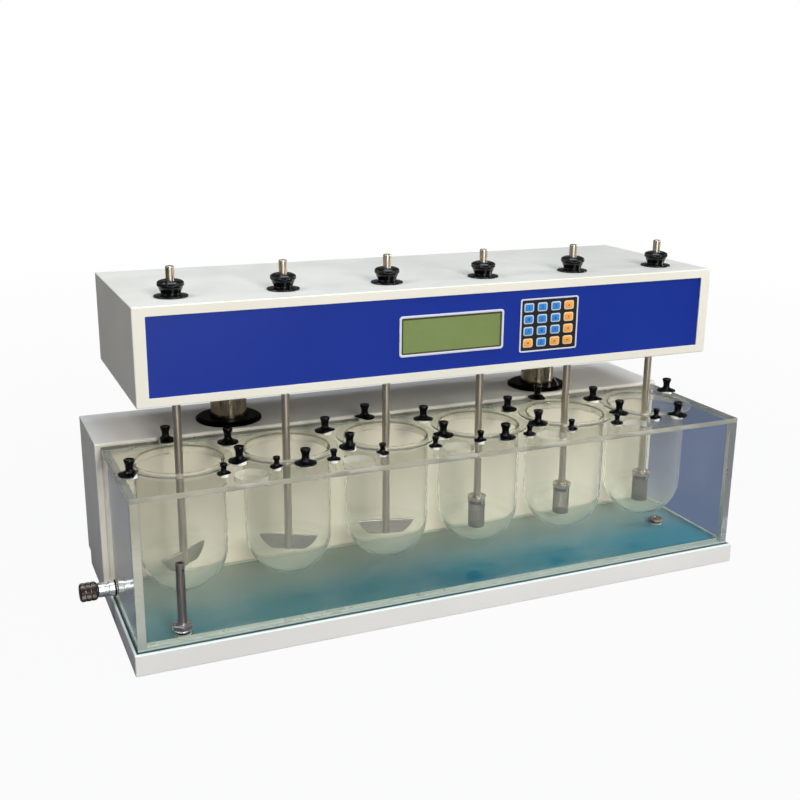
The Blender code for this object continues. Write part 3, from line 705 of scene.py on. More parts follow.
# ------------------------------------------------------------------- base tray
base = temp_object(round_box_bm(-BASE_X, BASE_X, -BASE_Y, BASE_Y, 0, BASE_H, 1.5 * MM, 5))
cut(base, box_bm(-BASE_X + 2 * MM, BASE_X - 2 * MM, -BASE_Y + 2 * MM, BASE_Y - 2 * MM,
                 2 * MM, BASE_H - 2 * MM))
vents = cyl_bm(-330 * MM, 120 * MM, -5 * MM, 5 * MM, 12 * MM, 48)
cyl_bm(330 * MM, 120 * MM, -5 * MM, 5 * MM, 12 * MM, 48, vents)
cut(base, vents)
me = take_mesh(base)
# upward faces of the tray take the lighter, cyan-cast enamel: painted highlight
for p in me.polygons:
    p.material_index = 1 if p.normal[2] > 0.35 and p.center[2] > BASE_H - 2 * MM else 0
replace(finish_mesh("base_shell", me, [M_TRAY, M_TRAY_TOP_HIGHLIGHT], "base", 30, weighted=True),
        "base_tray")

# ---------------------------------------------------------------- rear housing
hz = BASE_H + GAP
bm = box_bm(HOUSE_X0, BASE_X, HOUSE_FRONT, BASE_Y, hz, HOUSE_TOP)
bend = [e for e in bm.edges if all(v.co.z > HOUSE_TOP - MM and v.co.y < HOUSE_FRONT + MM for v in e.verts)]
bmesh.ops.bevel(bm, geom=bend, offset=2.6 * MM, segments=6, profile=0.5, affect="EDGES")
others = [e for e in bm.edges if e.calc_face_angle(0.0) > 1.0]
bmesh.ops.bevel(bm, geom=others, offset=0.9 * MM, segments=4, profile=0.5, affect="EDGES",
                clamp_overlap=True)
house = temp_object(bm)
cut(house, box_bm(HOUSE_X0 + 2 * MM, BASE_X - 2 * MM, HOUSE_FRONT + 2 * MM, BASE_Y - 2 * MM,
                  hz - 10 * MM, HOUSE_TOP - 2 * MM))
rh = cyl_bm(-COL_X, COL_Y, HOUSE_TOP - 10 * MM, HOUSE_TOP + 10 * MM, 30.3 * MM, 96)
cyl_bm(COL_X, COL_Y, HOUSE_TOP - 10 * MM, HOUSE_TOP + 10 * MM, 30.3 * MM, 96, rh)
cut(house, rh)
cut(house, box_bm(286.5 * MM, 313.5 * MM, BASE_Y - 30 * MM, BASE_Y + 10 * MM, 60.5 * MM, 79.5 * MM))
me = take_mesh(house)
for p in me.polygons:
    # front face: the shaded enamel copy
    p.material_index = 1 if p.normal[1] < -0.25 and p.center[1] < HOUSE_FRONT + 2.7 * MM else 0
    # roof: the lighter, painted-light enamel copy
    if p.normal[2] > 0.9 and p.center[2] > HOUSE_TOP - MM:
        p.material_index = 2
replace(finish_mesh("rear_housing_shell", me, [M_WHITE, M_HOUSE_FRONT_SHADED, M_HOUSE_ROOF_LIT], "base", 30,
                    weighted=True), "rear_housing")

# mains inlet: a black insert with three flat pins, open to the back
cup = temp_object(round_box_bm(286.6 * MM, 313.4 * MM, 144 * MM, 164.4 * MM, 60.6 * MM, 79.4 * MM,
                               0.5 * MM, 2))
hollow = box_bm(288.6 * MM, 311.4 * MM, 146.5 * MM, 170 * MM, 62.4 * MM, 77.6 * MM)
vert_edges = [e for e in hollow.edges if abs(e.verts[0].co.y - e.verts[1].co.y) > 0.01]
bmesh.ops.bevel(hollow, geom=vert_edges, offset=2.2 * MM, segments=4, profile=0.5, affect="EDGES")
cut(cup, hollow)
finish_mesh("mains_inlet_insert", take_mesh(cup), [M_BLACK_SOFT], "base", 30)
pins = bmesh.new()
for px, pz in ((293.0, 68.0), (300.0, 72.0), (307.0, 68.0)):
    box_bm((px - 1.0) * MM, (px + 1.0) * MM, 145 * MM, 159 * MM, (pz - 2.0) * MM, (pz + 2.0) * MM, pins)
to_object("mains_inlet_pins", pins, [M_CHROME], "base", 30, bevel=0.4 * MM)

# --------------------------------------------------------------- column guide
guide = box_bm(-COL_X - 45 * MM, COL_X + 45 * MM, COL_Y - 38 * MM, COL_Y + 38 * MM,
               HOUSE_TOP - 10 * MM, HOUSE_TOP - 2.3 * MM)
guide_ob = temp_object(guide)
gb = cyl_bm(-COL_X, COL_Y, HOUSE_TOP - 20 * MM, HOUSE_TOP + 20 * MM, 24.0 * MM, 96)
cyl_bm(COL_X, COL_Y, HOUSE_TOP - 20 * MM, HOUSE_TOP + 20 * MM, 24.0 * MM, 96, gb)
cut(guide_ob, gb)
replace(finish_mesh("column_guide_plate", take_mesh(guide_ob), [M_BLACK_SOFT], "base",
                    30, bevel=0.8 * MM), "column_guide")
t0 = HOUSE_TOP
for side, cx in (("left", -COL_X), ("right", COL_X)):
    prof = fillet([(24.0 * MM, t0 - 2.3 * MM), (24.0 * MM, t0 + 4.2 * MM), (25.2 * MM, t0 + 5.3 * MM),
                   (38.4 * MM, t0 + 5.3 * MM), (42.9 * MM, t0 + 2.9 * MM), (42.9 * MM, t0 + GAP),
                   (30.0 * MM, t0 + GAP), (30.0 * MM, t0 - 2.3 * MM)],
                  [0, 0.4 * MM, 0.5 * MM, 1.6 * MM, 1.0 * MM, 0.2 * MM, 0.1 * MM, 0], 5)
    bm = lathe_bm(prof, 128, closed=True)
    bmesh.ops.translate(bm, vec=(cx, COL_Y, 0), verts=bm.verts)
    to_object("column_collar_" + side, bm, [M_BLACK_SOFT], "base", 35)
    # four socket screws in the collar's face
    bm = bmesh.new()
    for k in range(4):
        a = radians(45 + 90 * k)
        sx, sy = cx + 33.5 * MM * cos(a), COL_Y + 33.5 * MM * sin(a)
        sp = fillet([(0, t0 + 5.35 * MM), (1.1 * MM, t0 + 5.35 * MM), (1.1 * MM, t0 + 5.9 * MM),
                     (2.3 * MM, t0 + 5.9 * MM), (2.3 * MM, t0 + 5.0 * MM), (0, t0 + 5.0 * MM)],
                    [0, 0.1 * MM, 0.15 * MM, 0.35 * MM, 0, 0], 3)
        sub = lathe_bm(sp, 24)
        bmesh.ops.translate(sub, vec=(sx, sy, 0), verts=sub.verts)
        tmp = bpy.data.meshes.new("t")
        sub.to_mesh(tmp)
        sub.free()
        bm.from_mesh(tmp)
        bpy.data.meshes.remove(tmp)
    to_object("collar_screws_" + side, bm, [M_BLACK], "base", 35)
bm = bmesh.new()
tube_bm(bm, [(264.5 * MM, 88 * MM, t0 + 7.2 * MM), (262.5 * MM, 80 * MM, t0 + 6.6 * MM),
             (258.5 * MM, 68 * MM, t0 + 6.0 * MM), (254.5 * MM, 57.5 * MM, t0 + 5.9 * MM)], 1.1 * MM, 10)
to_object("collar_locking_pin", bm, [M_CHROME], "base", 50)

# ------------------------------------------------------- columns and crosshead
cross = temp_object(box_bm(-COL_X - 40 * MM, COL_X + 40 * MM, COL_Y - 20 * MM, COL_Y + 20 * MM,
                           BASE_H + GAP, BASE_H + 20 * MM))
replace(finish_mesh("lift_crosshead", take_mesh(cross), [M_COLUMN], "head", 30,
                    bevel=1.5 * MM), "lift_frame")
for side, cx in (("left", -COL_X), ("right", COL_X)):
    prof = fillet([(0, HEAD_Z1 - 2.3 * MM), (COL_R, HEAD_Z1 - 2.3 * MM), (COL_R, 46.02 * MM),
                   (0, 46.02 * MM)], [0, 1.2 * MM, 0.6 * MM, 0], 4)
    bm = lathe_bm(prof, 128)
    bmesh.ops.translate(bm, vec=(cx, COL_Y, 0), verts=bm.verts)
    to_object("lift_column_" + side, bm, [M_COLUMN], "head", 35)

# ------------------------------------------------------------------ water bath
SH = 2.5 * MM                       # teal sheet under the bath
z_w = TANK_Z0 + SH + 0.05 * MM


def panel(name, x0, x1, y0, y1, z0, z1, face_axis, mat, edges, bevel=0.5 * MM):
    """An acrylic sheet with polished faces across face_axis and sawn edges."""
    bm = round_box_bm(x0, x1, y0, y1, z0, z1, bevel, 2)
    bmesh.ops.recalc_face_normals(bm, faces=bm.faces)
    for f in bm.faces:
        f.normal_update()
        f.material_index = 0 if abs(f.normal[face_axis]) > 0.9 else 1
        if len(edges) > 1 and abs(f.normal[1]) > 0.9:
            f.material_index = 2
        if f.normal[2] > 0.9:
            f.material_index = len(edges) + 1
    return to_object(name, bm, [mat] + edges + [M_WALL_TOP], "base", 30, weighted=True)


def split_level(me, *levels):
    """Cut a mesh's faces along level lines, so that each side can have its own material."""
    bm = bmesh.new()
    bm.from_mesh(me)
    for z in levels:
        bmesh.ops.bisect_plane(bm, geom=list(bm.verts) + list(bm.edges) + list(bm.faces), dist=0.000001,
                               plane_co=(0, 0, z), plane_no=(0, 0, 1))
    bm.to_mesh(me)
    bm.free()


inner_x = TANK_X - 10 * MM
j = 0.06 * MM                       # glue line


left = round_box_bm(-TANK_X, -inner_x, TANK_FRONT, TANK_REAR, z_w, TANK_Z1, 0.5 * MM, 2)
left_ob = temp_object(left)
vh = bmesh.new()
bmesh.ops.create_cone(vh, cap_ends=True, segments=48, radius1=6.5 * MM, radius2=6.5 * MM, depth=40 * MM)
bmesh.ops.rotate(vh, matrix=Matrix.Rotation(pi / 2, 3, "Y"), verts=vh.verts)
bmesh.ops.translate(vh, vec=(-TANK_X, VALVE_Y, VALVE_Z), verts=vh.verts)
cut(left_ob, vh)
me = take_mesh(left_ob)
split_level(me, z_w + 1.6 * MM)
for p in me.polygons:
    p.material_index = 0 if abs(p.normal[0]) > 0.9 else 1
    # the outer foot of the left wall: bond line with a painted highlight
    if p.normal[0] < -0.3 and p.center[2] < z_w + 1.6 * MM:
        p.material_index = 2
    if p.normal[2] > 0.9 and p.center[2] > TANK_Z1 - MM:
        p.material_index = 3
replace(finish_mesh("bath_wall_left", me, [M_LEFT_AC, M_EDGE, M_BOND_AND_HIGHLIGHT, M_WALL_TOP], "base", 30,
                    weighted=True), "water_tank")
panel("bath_wall_right", inner_x, TANK_X, TANK_FRONT, TANK_REAR, z_w, TANK_Z1, 0, M_END_AC,
      [M_EDGE, M_EDGE_CLEAR], 0.7 * MM)
panel("bath_wall_front", -inner_x + j, inner_x - j, TANK_FRONT, TANK_FRONT + 10 * MM, z_w, TANK_Z1,
      1, M_FRONT_AC, [M_EDGE])
panel("bath_wall_rear", -inner_x + j, inner_x - j, TANK_REAR - 8 * MM, TANK_REAR, z_w, TANK_Z1,
      1, M_FRONT_AC, [M_EDGE])
floor_ob = temp_object(round_box_bm(-inner_x + j, inner_x - j, TANK_FRONT + 10 * MM + j,
                                    TANK_REAR - 8 * MM - j, z_w, FLOOR_TOP, 0.4 * MM, 2))
fh = cyl_bm(*STANDPIPE, TANK_Z0 - 10 * MM, FLOOR_TOP + 10 * MM, 9.5 * MM, 48)
cyl_bm(*RETURN_FITTING, TANK_Z0 - 10 * MM, FLOOR_TOP + 10 * MM, 8.5 * MM, 48, fh)
cut(floor_ob, fh)
me = take_mesh(floor_ob)
split_level(me, z_w + 3.0 * MM)
for p in me.polygons:
    if abs(p.normal[2]) < 0.9:
        p.material_index = 1 if p.center[2] < z_w + 3.0 * MM else 2
    else:
        p.material_index = 0 if p.normal[2] > 0 else 2
finish_mesh("bath_floor", me, [M_FLOOR_AC, M_FLOOR_EDGE, M_FLOOR_UNDER], "base", 30,
            weighted=True)
sheet_ob = temp_object(box_bm(-TANK_X, TANK_X, TANK_FRONT, TANK_REAR, TANK_Z0, TANK_Z0 + SH))
fh = cyl_bm(*STANDPIPE, TANK_Z0 - 10 * MM, FLOOR_TOP + 10 * MM, 9.5 * MM, 48)
cyl_bm(*RETURN_FITTING, TANK_Z0 - 10 * MM, FLOOR_TOP + 10 * MM, 8.5 * MM, 48, fh)
cut(sheet_ob, fh)
me = take_mesh(sheet_ob)
for p in me.polygons:
    # front and left edges take the lighter turquoise: painted highlight; the others stay dark teal
    p.material_index = 0 if abs(p.normal[2]) > 0.9 else (2 if p.normal[1] < -0.9 or p.normal[0] < -0.9 else 1)
finish_mesh("bath_teal_sheet", me, [M_TEAL, M_TEAL_EDGE, M_TEAL_FRONT_HIGHLIGHT], "base", 30,
            bevel=0.2 * MM)

# painted shadow: a thin dark strip under the bath, standing past its foot, stands in for the contact shadow on the
# tray's ledge
foot_shadow_strip = box_bm(-TANK_X - 2.0 * MM, TANK_X + 1.5 * MM, TANK_FRONT - 3.6 * MM, TANK_REAR - 1 * MM,
                BASE_H + 0.03 * MM, TANK_Z0 - 0.02 * MM)
to_object("bath_foot_shadow_strip", foot_shadow_strip, [M_FOOT_SHADOW], "base", 30)

# ---------------------------------------------------------------- vessel plate
plate = temp_object(round_box_bm(-TANK_X, TANK_X, TANK_FRONT, TANK_REAR, PLATE_Z0 + REBATE, PLATE_Z1,
                                 0.6 * MM, 2))
cut(plate, box_bm(-inner_x + GAP, inner_x - GAP, TANK_FRONT + 10 * MM + GAP, TANK_REAR - 8 * MM - GAP,
                  PLATE_Z0, PLATE_Z0 + 4 * MM), op="UNION")


def clamp_spots():
    out = []
    for i, sx in enumerate(STATION_X):
        for k in range(3):
            a = radians(CLAMP_START[i] + 120 * k)
            out.append(("%d%s" % (i + 1, "abc"[k]), sx + 73 * MM * cos(a), ROD_Y + 73 * MM * sin(a),
                        radians(CLAMP_HEADING[i][k])))
    return out


def port_clamp_spots():
    out = []
    for i, px in enumerate(PORT_X):
        for k, s in enumerate((-1, 1)):
            out.append(("%d%s" % (i + 1, "ab"[k]), px + s * 31 * MM, -126.5 * MM,
                        radians(PORT_HEADING[i][k])))
    return out


holes = bmesh.new()
for x in STATION_X:
    cyl_bm(x, ROD_Y, PLATE_Z0 - 5 * MM, PLATE_Z1 + 5 * MM, 54 * MM, 128, holes)
for x in PORT_X:
    cyl_bm(x, PORT_Y, PLATE_Z0 - 5 * MM, PLATE_Z1 + 5 * MM, 19.5 * MM, 72, holes)
for t, x, y, h in clamp_spots():
    cyl_bm(x, y, PLATE_Z0 - 5 * MM, PLATE_Z1 + 5 * MM, 2.9 * MM, 24, holes)
for t, x, y, h in port_clamp_spots():
    cyl_bm(x, y, PLATE_Z0 - 5 * MM, PLATE_Z1 + 5 * MM, 2.4 * MM, 20, holes)
cut(plate, holes)
me = take_mesh(plate)
for p in me.polygons:
    outer = abs(p.center[0]) > TANK_X - 0.7 * MM or p.center[1] < TANK_FRONT + 0.7 * MM \
        or p.center[1] > TANK_REAR - 0.7 * MM
    flat = abs(p.normal[2]) > 0.9
    port = min(hypot(p.center[0] - x, p.center[1] - PORT_Y) for x in PORT_X) < 20 * MM
    p.material_index = 0 if flat else (1 if outer else (3 if port else 2))
replace(finish_mesh("vessel_plate_sheet", me, [M_PLATE_AC_DARK_REFLECTION, M_PLATE_EDGE, M_HOLE, M_PORT], "base",
                    30, weighted=True), "vessel_plate")

# --------------------------------------------------------------------- vessels
zt = PLATE_Z1 + GAP + 3 * MM
zc = 50.5 * MM + 51 * MM
ARC = 22
outer_arc = [(53.3 * MM * cos(k * pi / 2 / ARC), zc - 53.3 * MM * sin(k * pi / 2 / ARC))
             for k in range(ARC)] + [(0, zc - 53.3 * MM)]
inner_arc = [(0, zc - 51 * MM)] + [(51 * MM * cos(k * pi / 2 / ARC), zc - 51 * MM * sin(k * pi / 2 / ARC))
                                  for k in range(ARC - 1, -1, -1)]
wall_z = [zc + (PLATE_Z1 - 6 * MM - zc) * k / 5 for k in range(1, 6)]
rim = fillet([(53.3 * MM, PLATE_Z1 - 6 * MM), (53.3 * MM, PLATE_Z1 + GAP), (63.0 * MM, PLATE_Z1 + GAP),
              (63.0 * MM, zt), (51.0 * MM, zt), (51.0 * MM, PLATE_Z1 - 6 * MM)],
             [0, 0.25 * MM, 1.3 * MM, 1.3 * MM, 1.8 * MM, 0], 6)
profile = list(reversed(outer_arc[:-1]))
profile = [outer_arc[-1]] + profile + [(53.3 * MM, z) for z in wall_z[:-1]] + rim \
    + [(51 * MM, z) for z in reversed(wall_z[:-1])] + list(reversed(inner_arc))
for i, x in enumerate(STATION_X):
    bm = lathe_bm(profile, 112)
    for f in bm.faces:
        c = f.calc_center_median()
        d = hypot(c.x, c.y)
        if c.z > PLATE_Z1 and d < 52.6 * MM:
            f.material_index = 1
        elif c.z > PLATE_Z1:
            f.material_index = 2
        elif c.z > 197 * MM and d < 52 * MM:
            f.material_index = 6
        # lower bands of the bowl step to less clear glass: painted glow
        for k, top in enumerate((94, 82, 69)):
            if c.z < top * MM:
                f.material_index = 3 + k
    bmesh.ops.translate(bm, vec=(x, ROD_Y, 0), verts=bm.verts)
    replace(to_object("glass_vessel_%d" % (i + 1), bm, [M_GLASS_TOP_SHADE, M_RIM, M_FLANGE] + M_BOWLS_GLOW + [M_NECK], "base",
                      40),
            "vessel_%d" % (i + 1))


# ---------------------------------------------------------------------- clamps
def clamp_mesh(disc_r, flat, spacer_r, stud_r, nut_r, knob_r, neck_r, height, seg):
    """Cam clamp about its own axis, z = 0 at the plate's upper face: glossy knob and cam disc,
    nylon spacer, stud through the plate and a nut under it."""
    d0 = 3.6 * MM
    h = height
    top = d0 + h
    sweep = []
    for k in range(1, 9):
        t = k / 9
        sweep.append((neck_r + (disc_r - neck_r) * (t ** 1.9) * 0.98, d0 + 1.9 * MM
                      + (0.40 * h - 1.9 * MM) * (1 - t) ** 1.25))
    knob = [(0, top - 0.95 * MM), (knob_r * 0.50, top - 0.80 * MM), (knob_r * 0.80, top - 0.12 * MM),
            (knob_r * 0.93, top), (knob_r, top - 0.9 * MM), (knob_r * 0.985, top - 2.2 * MM),
            (neck_r * 1.06, d0 + h * 0.66), (neck_r, d0 + h * 0.55), (neck_r, d0 + h * 0.44)]
    prof = fillet(knob, [0, 0.8 * MM, 0.5 * MM, 0.3 * MM, 0.5 * MM, 1.0 * MM, 1.0 * MM, 0.8 * MM, 0], 4)
    prof += sweep + [(disc_r - 0.25 * MM, d0 + 1.75 * MM), (disc_r, d0 + 1.4 * MM),
                     (disc_r, d0 + 0.35 * MM), (disc_r - 0.3 * MM, d0)]
    prof += [(0, d0)]
    ob = temp_object(lathe_bm(prof, seg))
    cut(ob, box_bm(flat, flat + 3 * disc_r, -2 * disc_r, 2 * disc_r, d0 - 1 * MM, d0 + h * 0.43))
    bm = bmesh.new()
    black = take_mesh(ob)
    bm.from_mesh(black)
    bpy.data.meshes.remove(black)
    for f in bm.faces:
        f.material_index = 0
    sp = fillet([(0, d0 - 0.02 * MM), (spacer_r, d0 - 0.02 * MM), (spacer_r, GAP), (0, GAP)],
                [0, 0.35 * MM, 0.35 * MM, 0], 3)
    lathe_bm(sp, 40, bm=bm, slots=[1] * 40)
    t = PLATE_Z0 - PLATE_Z1
    st = fillet([(0, GAP - 0.02 * MM), (stud_r, GAP - 0.02 * MM), (stud_r, t - GAP), (0, t - GAP)],
                [0, 0.1 * MM, 0.1 * MM, 0], 2)
    lathe_bm(st, 24, bm=bm, slots=[2] * 24)
    nt = fillet([(0, t - GAP - 0.02 * MM), (nut_r, t - GAP - 0.02 * MM), (nut_r, t - 3.2 * MM),
                 (0, t - 3.2 * MM)], [0, 0.2 * MM, 0.5 * MM, 0], 3)
    lathe_bm(nt, 6, bm=bm, slots=[2] * 24)
    bmesh.ops.recalc_face_normals(bm, faces=bm.faces)
    me = bpy.data.meshes.new("clamp")
    bm.to_mesh(me)
    bm.free()
    return me


def place_clamps(kind, spots, master):
    for t, x, y, h in spots:
        me = master.copy()
        me.transform(Matrix.Translation((x, y, PLATE_Z1)) @ Matrix.Rotation(h, 4, "Z"))
        name = "%s_%s" % (kind, t)
        ob = finish_mesh("cam_" + name, me, [M_BLACK, M_NYLON, M_STUD], name, 40,
                         bevel=0.18 * MM, bevel_angle=58, segs=2)
        replace(ob, name)


big = clamp_mesh(13.2 * MM, 6.8 * MM, 8.3 * MM, 2.5 * MM, 3.4 * MM, 6.3 * MM, 4.5 * MM, 18.5 * MM, 56)
place_clamps("vessel_clamp", clamp_spots(), big)
small = clamp_mesh(8.1 * MM, 4.2 * MM, 5.1 * MM, 2.0 * MM, 3.0 * MM, 4.3 * MM, 3.1 * MM, 13 * MM, 44)
place_clamps("port_clamp", port_clamp_spots(), small)

# ----------------------------------------------------------------- drain valve
to_x = Matrix.Rotation(pi / 2, 4, "Y")      # turned height runs along +X


def along_x(bm, x, y, z):
    bmesh.ops.transform(bm, matrix=Matrix.Translation((x, y, z)) @ to_x, verts=bm.verts)
    return bm


W = -TANK_X
bm = lathe_bm(fillet([(4.5 * MM, -8 * MM), (4.5 * MM, -22 * MM), (8.0 * MM, -22 * MM),
                      (9.0 * MM, -20.6 * MM), (9.0 * MM, -12.5 * MM), (8.3 * MM, -12.0 * MM),
                      (8.3 * MM, -9.0 * MM), (9.6 * MM, -8.4 * MM), (9.6 * MM, -2.6 * MM),
                      (9.6 * MM, -2.5 * MM), (9.6 * MM, -GAP), (5.9 * MM, -GAP), (5.9 * MM, 10.2 * MM),
                      (0, 10.2 * MM), (0, -8 * MM)],
                     [0, 0, 0.5 * MM, 0.8 * MM, 0.3 * MM, 0.3 * MM, 0.3 * MM, 0.5 * MM, 0.1 * MM,
                      0.1 * MM, 0.4 * MM, 0, 0, 0, 0], 4), 96)
bmesh.ops.remove_doubles(bm, verts=bm.verts, dist=0.00001)
replace(to_object("drain_valve_barrel", along_x(bm, W, VALVE_Y, VALVE_Z), [M_VALVE], "base",
                  35), "drain_valve_body")
bm = lathe_bm(fillet([(5.95 * MM, -2.4 * MM), (9.9 * MM, -2.4 * MM), (9.9 * MM, -GAP),
                      (5.95 * MM, -GAP)], [0, 0.5 * MM, 0.2 * MM, 0], 3), 72, closed=True)
to_object("drain_valve_washer", along_x(bm, W - 0.02 * MM, VALVE_Y, VALVE_Z), [M_BLACK_SOFT],
          "base", 35)
# inner nut: hexagon with a chamfered face, then the shank's end
bm = lathe_bm(fillet([(5.95 * MM, 10.4 * MM), (8.5 * MM, 10.4 * MM), (8.5 * MM, 16.2 * MM),
                      (7.7 * MM, 17.0 * MM), (5.95 * MM, 17.0 * MM)], 0, 2), 6, closed=True)
to_object("drain_valve_nut", along_x(bm, W, VALVE_Y, VALVE_Z), [M_NYLON], "base", 20,
          bevel=0.3 * MM)
bm = lathe_bm(fillet([(0, 10.25 * MM), (5.9 * MM, 10.25 * MM), (5.9 * MM, 25 * MM), (4.2 * MM, 25 * MM),
                      (4.2 * MM, 20 * MM), (0, 20 * MM)], [0, 0, 0.4 * MM, 0.3 * MM, 0, 0], 3), 64)
to_object("drain_valve_shank", along_x(bm, W, VALVE_Y, VALVE_Z), [M_NYLON], "base", 35)


# knob: three bands of straight knurling between two grooves, domed end
prof = [(0, -9 * MM), (4.0 * MM, -9 * MM), (4.0 * MM, -22.4 * MM)]
prof += fillet([(4.0 * MM, -22.4 * MM), (9.4 * MM, -22.4 * MM), (10.4 * MM, -23.6 * MM),
                (10.6 * MM, -24.4 * MM)], [0, 0.4 * MM, 0.6 * MM, 0], 3)[1:]
rows = []
z = -24.5 * MM
for a, b in ((-24.6, -29.4), (-30.6, -35.6), (-36.8, -41.4)):
    rows.append((10.5 * MM, (a + 0.05) * MM))
    for k in range(9):
        rows.append((11.4 * MM, (a + (b - a) * k / 8) * MM))
    rows.append((10.5 * MM, (b - 0.05) * MM))
prof += rows + fillet([(10.4 * MM, -41.5 * MM), (10.2 * MM, -42.2 * MM), (9.0 * MM, -43 * MM),
                       (5.5 * MM, -43.0 * MM), (4.6 * MM, -42.2 * MM), (0, -42.0 * MM)],
                      [0, 0.4 * MM, 0.6 * MM, 0.3 * MM, 0.4 * MM, 0], 4)


def knob_warp(r, z, a):
    if r < 11.3 * MM:
        return r
    w = abs(((a * 44 / (2 * pi)) % 1.0) - 0.5) * 2
    return r - 0.55 * MM * w


bm = lathe_bm(prof, 176, warp=knob_warp)
replace(to_object("drain_valve_grip", along_x(bm, W, VALVE_Y, VALVE_Z), [M_BRONZE], "valve_knob",
                  30), "drain_valve_knob")

# ---------------------------------------------------------------- bath fittings
sx, sy = STANDPIPE
pipe_rows = [(3.6 * MM, 117 * MM)] + fillet([(3.6 * MM, 117 * MM), (5.2 * MM, 117 * MM),
                                             (5.2 * MM, 30 * MM)], [0, 0.4 * MM, 0], 3)[1:] \
    + [(5.2 * MM, TANK_Z0 + GAP), (3.6 * MM, TANK_Z0 + GAP)]
pipe = temp_object(lathe_bm(pipe_rows, 72, closed=True))
hole = bmesh.new()
bmesh.ops.create_cone(hole, cap_ends=True, segments=32, radius1=1.35 * MM, radius2=1.35 * MM, depth=20 * MM)
bmesh.ops.rotate(hole, matrix=Matrix.Rotation(pi / 2, 3, "Y"), verts=hole.verts)
bmesh.ops.rotate(hole, matrix=Matrix.Rotation(radians(-62), 3, "Z"), verts=hole.verts)
hd = Vector((cos(radians(-62)), sin(radians(-62)), 0)) * 10 * MM
bmesh.ops.translate(hole, vec=(hd.x, hd.y, 109.6 * MM), verts=hole.verts)
cut(pipe, hole)
me = take_mesh(pipe)
me.transform(Matrix.Translation((sx, sy, 0)))
replace(finish_mesh("standpipe_tube", me, [M_PIPE], "base", 35), "standpipe")
bm = lathe_bm(fillet([(5.25 * MM, FLOOR_TOP + 8.6 * MM), (7.6 * MM, FLOOR_TOP + 8.6 * MM),
                      (7.9 * MM, FLOOR_TOP + 7.9 * MM)], [0, 0.4 * MM, 0], 3)
              + [(7.9 * MM, FLOOR_TOP + 7.3 * MM), (5.25 * MM, FLOOR_TOP + 7.3 * MM)], 48, closed=True)
bmesh.ops.translate(bm, vec=(sx, sy, 0), verts=bm.verts)
to_object("standpipe_collar", bm, [M_NUT], "base", 35)
bm = lathe_bm(fillet([(5.25 * MM, FLOOR_TOP + 7.25 * MM), (10.4 * MM, FLOOR_TOP + 7.25 * MM),
                      (12.4 * MM, FLOOR_TOP + 6.3 * MM), (12.4 * MM, FLOOR_TOP + 1.8 * MM),
                      (5.25 * MM, FLOOR_TOP + 1.8 * MM)], 0, 2),
              6, closed=True)
bmesh.ops.rotate(bm, matrix=Matrix.Rotation(radians(22), 3, "Z"), verts=bm.verts)
bmesh.ops.translate(bm, vec=(sx, sy, 0), verts=bm.verts)
to_object("standpipe_nut", bm, [M_NUT], "base", 20, bevel=0.35 * MM)
bm = lathe_bm(fillet([(5.25 * MM, FLOOR_TOP + 1.75 * MM), (12.0 * MM, FLOOR_TOP + 1.75 * MM),
                      (12.0 * MM, FLOOR_TOP + 0.05 * MM), (5.25 * MM, FLOOR_TOP + 0.05 * MM)],
                     [0, 0.6 * MM, 0.3 * MM, 0], 3), 64, closed=True)
bmesh.ops.translate(bm, vec=(sx, sy, 0), verts=bm.verts)
to_object("standpipe_washer", bm, [M_CHROME], "base", 35)

rx, ry = RETURN_FITTING
prof = fillet([(4.6 * MM, FLOOR_TOP + 1.6 * MM), (5.4 * MM, FLOOR_TOP + 3.5 * MM),
               (8.6 * MM, FLOOR_TOP + 3.5 * MM), (11.0 * MM, FLOOR_TOP + 1.8 * MM),
               (11.0 * MM, FLOOR_TOP + 0.3 * MM), (8.0 * MM, FLOOR_TOP + 0.3 * MM),
               (8.0 * MM, TANK_Z0 + GAP), (4.6 * MM, TANK_Z0 + GAP)],
              [0, 0.5 * MM, 0.8 * MM, 0.8 * MM, 0.3 * MM, 0, 0, 0], 4)
bm = lathe_bm(prof, 72, closed=True)
bmesh.ops.translate(bm, vec=(rx, ry, 0), verts=bm.verts)
replace(to_object("bath_return_ring", bm, [M_PIPE], "base", 35),
        "bath_return_fitting")

# ------------------------------------------------------------------ drive head
head = temp_object(round_box_bm(-HEAD_X, HEAD_X, HEAD_FRONT, HEAD_REAR, HEAD_Z0, HEAD_Z1, 1.4 * MM, 5))
cut(head, box_bm(-HEAD_X + 2 * MM, HEAD_X - 2 * MM, HEAD_FRONT + 2 * MM, HEAD_REAR - 2 * MM,
                 HEAD_Z0 + 2 * MM, HEAD_Z1 - 2 * MM))
win = box_bm(-WIN_X, WIN_X, HEAD_FRONT - 10 * MM, HEAD_FRONT + 8 * MM, WIN_Z0, WIN_Z1)
ye = [e for e in win.edges if abs(e.verts[0].co.y - e.verts[1].co.y) > 0.005]
bmesh.ops.bevel(win, geom=ye, offset=0.8 * MM, segments=3, profile=0.5, affect="EDGES")
cut(head, win)
hh = bmesh.new()
for x in STATION_X:
    cyl_bm(x, ROD_Y, HEAD_Z0 - 5 * MM, HEAD_Z1 + 5 * MM, 8.9 * MM, 64, hh)
for x in (-COL_X, COL_X):
    cyl_bm(x, COL_Y, HEAD_Z0 - 5 * MM, HEAD_Z0 + 10 * MM, 23.9 * MM, 96, hh)
cut(head, hh)
replace(finish_mesh("head_shell", take_mesh(head), [M_WHITE], "head", 30,
                    bevel=0.35 * MM, bevel_angle=60, segs=2), "head_casing")

pf = HEAD_FRONT + 2.3 * MM
bm = round_box_bm(-WIN_X - 7 * MM, WIN_X + 7 * MM, pf, pf + 3 * MM, WIN_Z0 - 5 * MM, WIN_Z1 + 5 * MM,
                  0.3 * MM, 2)
replace(to_object("control_panel_film", bm, [M_BLUE], "head", 30, weighted=True),
        "control_panel")

